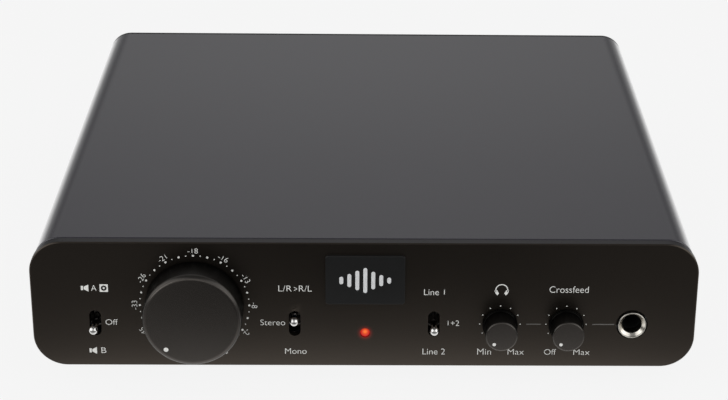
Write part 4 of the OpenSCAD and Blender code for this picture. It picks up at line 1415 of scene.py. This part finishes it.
class StageOperator(Operator):
    """Set up the floor, the lamps and the camera"""

    bl_idname = "controller.stage"
    bl_label = "Stage"

    # Where the camera stands from the middle of the panel's lower front edge, in metres, and how it is turned
    PLACE = Vector((0.000511, -0.554699, 0.297352))
    PAN = math.radians(-1.3819)
    LIFT = math.radians(66.6544)
    ROLL = math.radians(0.8115)
    SHIFT = -0.0641
    CLIP_START = 0.01
    FLOOR_SIZE = 4
    FLOOR_ROUGH = 0.9
    # The floor is at full level in reflections up to this way, in metres, and far off at this level
    NEAR = 0.15
    FAR_LEVEL = 0.55
    # The floor ahead of the panel begins to fade here, and how soon its sides then grow darker
    FADE_FROM = FACE_Y - 10 * MM
    RAMP = 0.003
    # What the sides lose of that floor's level, and what they get again further ahead
    SIDE_LOSS = -0.5
    SIDE_GAIN = 0.12
    # What reflections see. Each row is a smooth step: where it begins and ends in the direction's height, or
    # for those across and behind in its side or back part, and the levels before and after it.
    WALL = (-0.05, 0.22, 0.55, 0.21)
    WALL_STEPS = ((0.22, 0.33, 0.0, 0.13), (0.33, 0.41, 0.0, -0.045), (0.42, 0.6, 0.0, 0.45))
    WALL_TOP = (0.65, 0.9, 1.0, 0.15)
    WALL_ACROSS = (0.0, 0.35, 1.0, 0.75)
    BEHIND = (0.0, 0.5, 0.0, 1.0)
    SIDES_ACROSS = (0.45, 0.85, 0.0, 0.6)
    SIDES_FOOT = (-0.05, 0.15, 0.0, 1.0)
    ABOVE = (0.3, 0.9, 0.03, 0.16)
    # Name, place and size of each lamp, in metres, and the setting that holds its power
    LAMPS = (
        ("left_lamp", (-1.04, -0.58, 0.55), 1.6, "side_power"),
        ("right_lamp", (1.04, -0.58, 0.55), 1.6, "side_power"),
        ("front_lamp", (0, -1.25, 0.4), 1.4, "front_power"),
    )

    def execute(self, context):
        stage = context.scene.controller_stage
        self.floor(stage)
        self.sky(stage)
        for name, place, size, power_name in self.LAMPS:
            self.lamp(name, Vector(place), size, getattr(stage, power_name))
        self.camera(stage)
        context.scene.view_settings.view_transform = "Standard"
        return {"FINISHED"}

    def floor(self, stage):
        """A pale sheet with a light shadow, whose reflection fades ahead of the front panel."""
        select_only()
        bpy.ops.mesh.primitive_plane_add(size=self.FLOOR_SIZE, location=(0, 0, 0))
        sheet = named("floor")
        material = bpy.data.materials.new("floor_paper")
        material.use_nodes = True
        tree = material.node_tree
        paper = shader_of(material)
        feed_all(tree, paper, {
            "Base Color": stage.pale,
            "Roughness": self.FLOOR_ROUGH,
            "Specular IOR Level": 0.0,
        })
        path = tree.nodes.new("ShaderNodeLightPath").outputs
        level = self.in_reflections(tree, path, self.fade(tree, stage))
        glow = add_node(tree, "Emission", color=stage.pale, strength=level)
        seen = times(tree, path["Is Camera Ray"], 1.0 - stage.shadow)
        self.show(tree, at_least(tree, seen, path["Is Glossy Ray"]), paper, glow, "Material Output")
        sheet.data.materials.append(material)

    def sky(self, stage):
        """Soft light from all round, and what the camera and reflections see of the studio."""
        world = bpy.data.worlds.new("studio")
        bpy.context.scene.world = world
        world.use_nodes = True
        tree = world.node_tree
        light = tree.nodes["Background"]
        feed_all(tree, light, {"Color": (1, 1, 1), "Strength": stage.sky})
        path = tree.nodes.new("ShaderNodeLightPath").outputs
        level = self.in_reflections(tree, path, self.studio(tree))
        seen = add_node(tree, "Background", color=stage.pale, strength=level)
        direct = at_least(tree, path["Is Camera Ray"], path["Is Glossy Ray"], path["Is Transmission Ray"])
        self.show(tree, direct, light, seen, "World Output")

    def in_reflections(self, tree, path, level):
        """The level where a reflection sees it, and 1 elsewhere."""
        return plus(tree, times(tree, path["Is Glossy Ray"], minus(tree, level, 1.0)), 1.0)

    def show(self, tree, share, first, second, output):
        """Gives the output the first shader where share is 0 and the second where it is 1."""
        mix = tree.nodes.new("ShaderNodeMixShader")
        for slot, value in zip(mix.inputs, (share, first.outputs[0], second.outputs[0])):
            feed(tree, slot, value)
        feed(tree, tree.nodes[output].inputs["Surface"], mix.outputs[0])

    def fade(self, tree, stage):
        """How bright the floor is in reflections: it falls off ahead of the panel and with distance."""
        place = x_y_z(tree, object_point(tree))
        ahead = at_least(tree, minus(tree, self.FADE_FROM, place["Y"]), 0.0)
        across = add_math(tree, "ABSOLUTE", place["X"])
        across = at_most(tree, times(tree, across, 1 / PANEL_HIGH.x), 1.0)
        side = times(tree, across, at_most(tree, times(tree, ahead, 1 / self.RAMP), 1.0))
        left_over = plus(tree, times(tree, side, side, self.SIDE_LOSS), 1.0)
        near = times(tree, self.decay(tree, ahead, stage.near_floor), left_over)
        near = times_plus(tree, side, self.SIDE_GAIN, near)
        reach = tree.nodes.new("ShaderNodeLightPath").outputs["Ray Length"]
        far = self.decay(tree, at_least(tree, minus(tree, reach, self.NEAR), 0.0), stage.far_floor)
        return times(tree, near, times_plus(tree, far, 1 - self.FAR_LEVEL, self.FAR_LEVEL))

    def decay(self, tree, way, scale):
        """1 at no way, which falls off with the way by e at each scale."""
        return add_math(tree, "EXPONENT", times(tree, way, -1 / scale))

    def studio(self, tree):
        """What reflections see: a grey wall behind, a pale panel at each side, and dark above and ahead."""
        way = x_y_z(tree, tree.nodes.new("ShaderNodeTexCoord").outputs["Generated"])
        across = add_math(tree, "ABSOLUTE", way["X"])
        height = way["Z"]
        side = times(tree, rise(tree, across, *self.SIDES_ACROSS), rise(tree, height, *self.SIDES_FOOT))
        wall = plus(tree, rise(tree, height, *self.WALL),
                    *(rise(tree, height, *step) for step in self.WALL_STEPS))
        wall = times(tree, wall, rise(tree, height, *self.WALL_TOP), rise(tree, across, *self.WALL_ACROSS))
        back = times(tree, rise(tree, way["Y"], *self.BEHIND), wall)
        return at_least(tree, side, back, rise(tree, height, *self.ABOVE))

    def lamp(self, name, place, size, power):
        """A square soft lamp that points at the middle of the floor."""
        select_only()
        turn = (-place).to_track_quat("-Z", "Y").to_euler()
        bpy.ops.object.light_add(type="AREA", location=place, rotation=turn)
        lamp = named(name)
        lamp.data.size = size
        lamp.data.energy = power

    def camera(self, stage):
        """The photograph's view."""
        turn = (Matrix.Rotation(self.PAN, 3, "Z") @ Matrix.Rotation(self.LIFT, 3, "X")
                @ Matrix.Rotation(self.ROLL, 3, "Z"))
        place = Vector((0, FACE_Y, PANEL_LOW.z)) + self.PLACE
        select_only()
        bpy.ops.object.camera_add(location=place, rotation=turn.to_euler())
        camera = named("camera")
        camera.data.lens = stage.lens
        camera.data.shift_x = self.SHIFT
        camera.data.clip_start = self.CLIP_START
        bpy.context.scene.camera = camera


OPERATORS = (
    StageOperator,
    CaseOperator,
    FrontPanelOperator,
    BadgeOperator,
    KnobsOperator,
    TogglesOperator,
    LightOperator,
    HeadphoneSocketOperator,
    PrintingOperator,
    RearOperator,
    FeetOperator,
    InsideOperator,
)


class ControllerPanel(Panel):
    """The controller's pieces, in the order in which they are made"""

    bl_idname = "VIEW3D_PT_controller"
    bl_label = "Monitor controller"
    bl_space_type = "VIEW_3D"
    bl_region_type = "UI"
    bl_category = "Controller"

    def draw(self, context):
        """A button for each operator, and below them the settings."""
        for operator in OPERATORS:
            self.layout.operator(operator.bl_idname)
        for name in SETTINGS:
            box = self.layout.box()
            group = getattr(context.scene, name)
            for key in group.__annotations__:
                box.prop(group, key)


def register():
    """Registers the settings, the operators and the panel."""
    for name, group in SETTINGS.items():
        bpy.utils.register_class(group)
        setattr(bpy.types.Scene, name, PointerProperty(type=group))
    for item in (*OPERATORS, ControllerPanel):
        bpy.utils.register_class(item)


def unregister():
    """Takes back what register did."""
    for item in reversed((*OPERATORS, ControllerPanel)):
        bpy.utils.unregister_class(item)
    for name, group in SETTINGS.items():
        delattr(bpy.types.Scene, name)
        bpy.utils.unregister_class(group)


def main():
    """Makes the whole scene."""
    register()
    for operator in OPERATORS:
        family, name = operator.bl_idname.split(".")
        getattr(getattr(bpy.ops, family), name)()


if __name__ == "__main__":
    main()
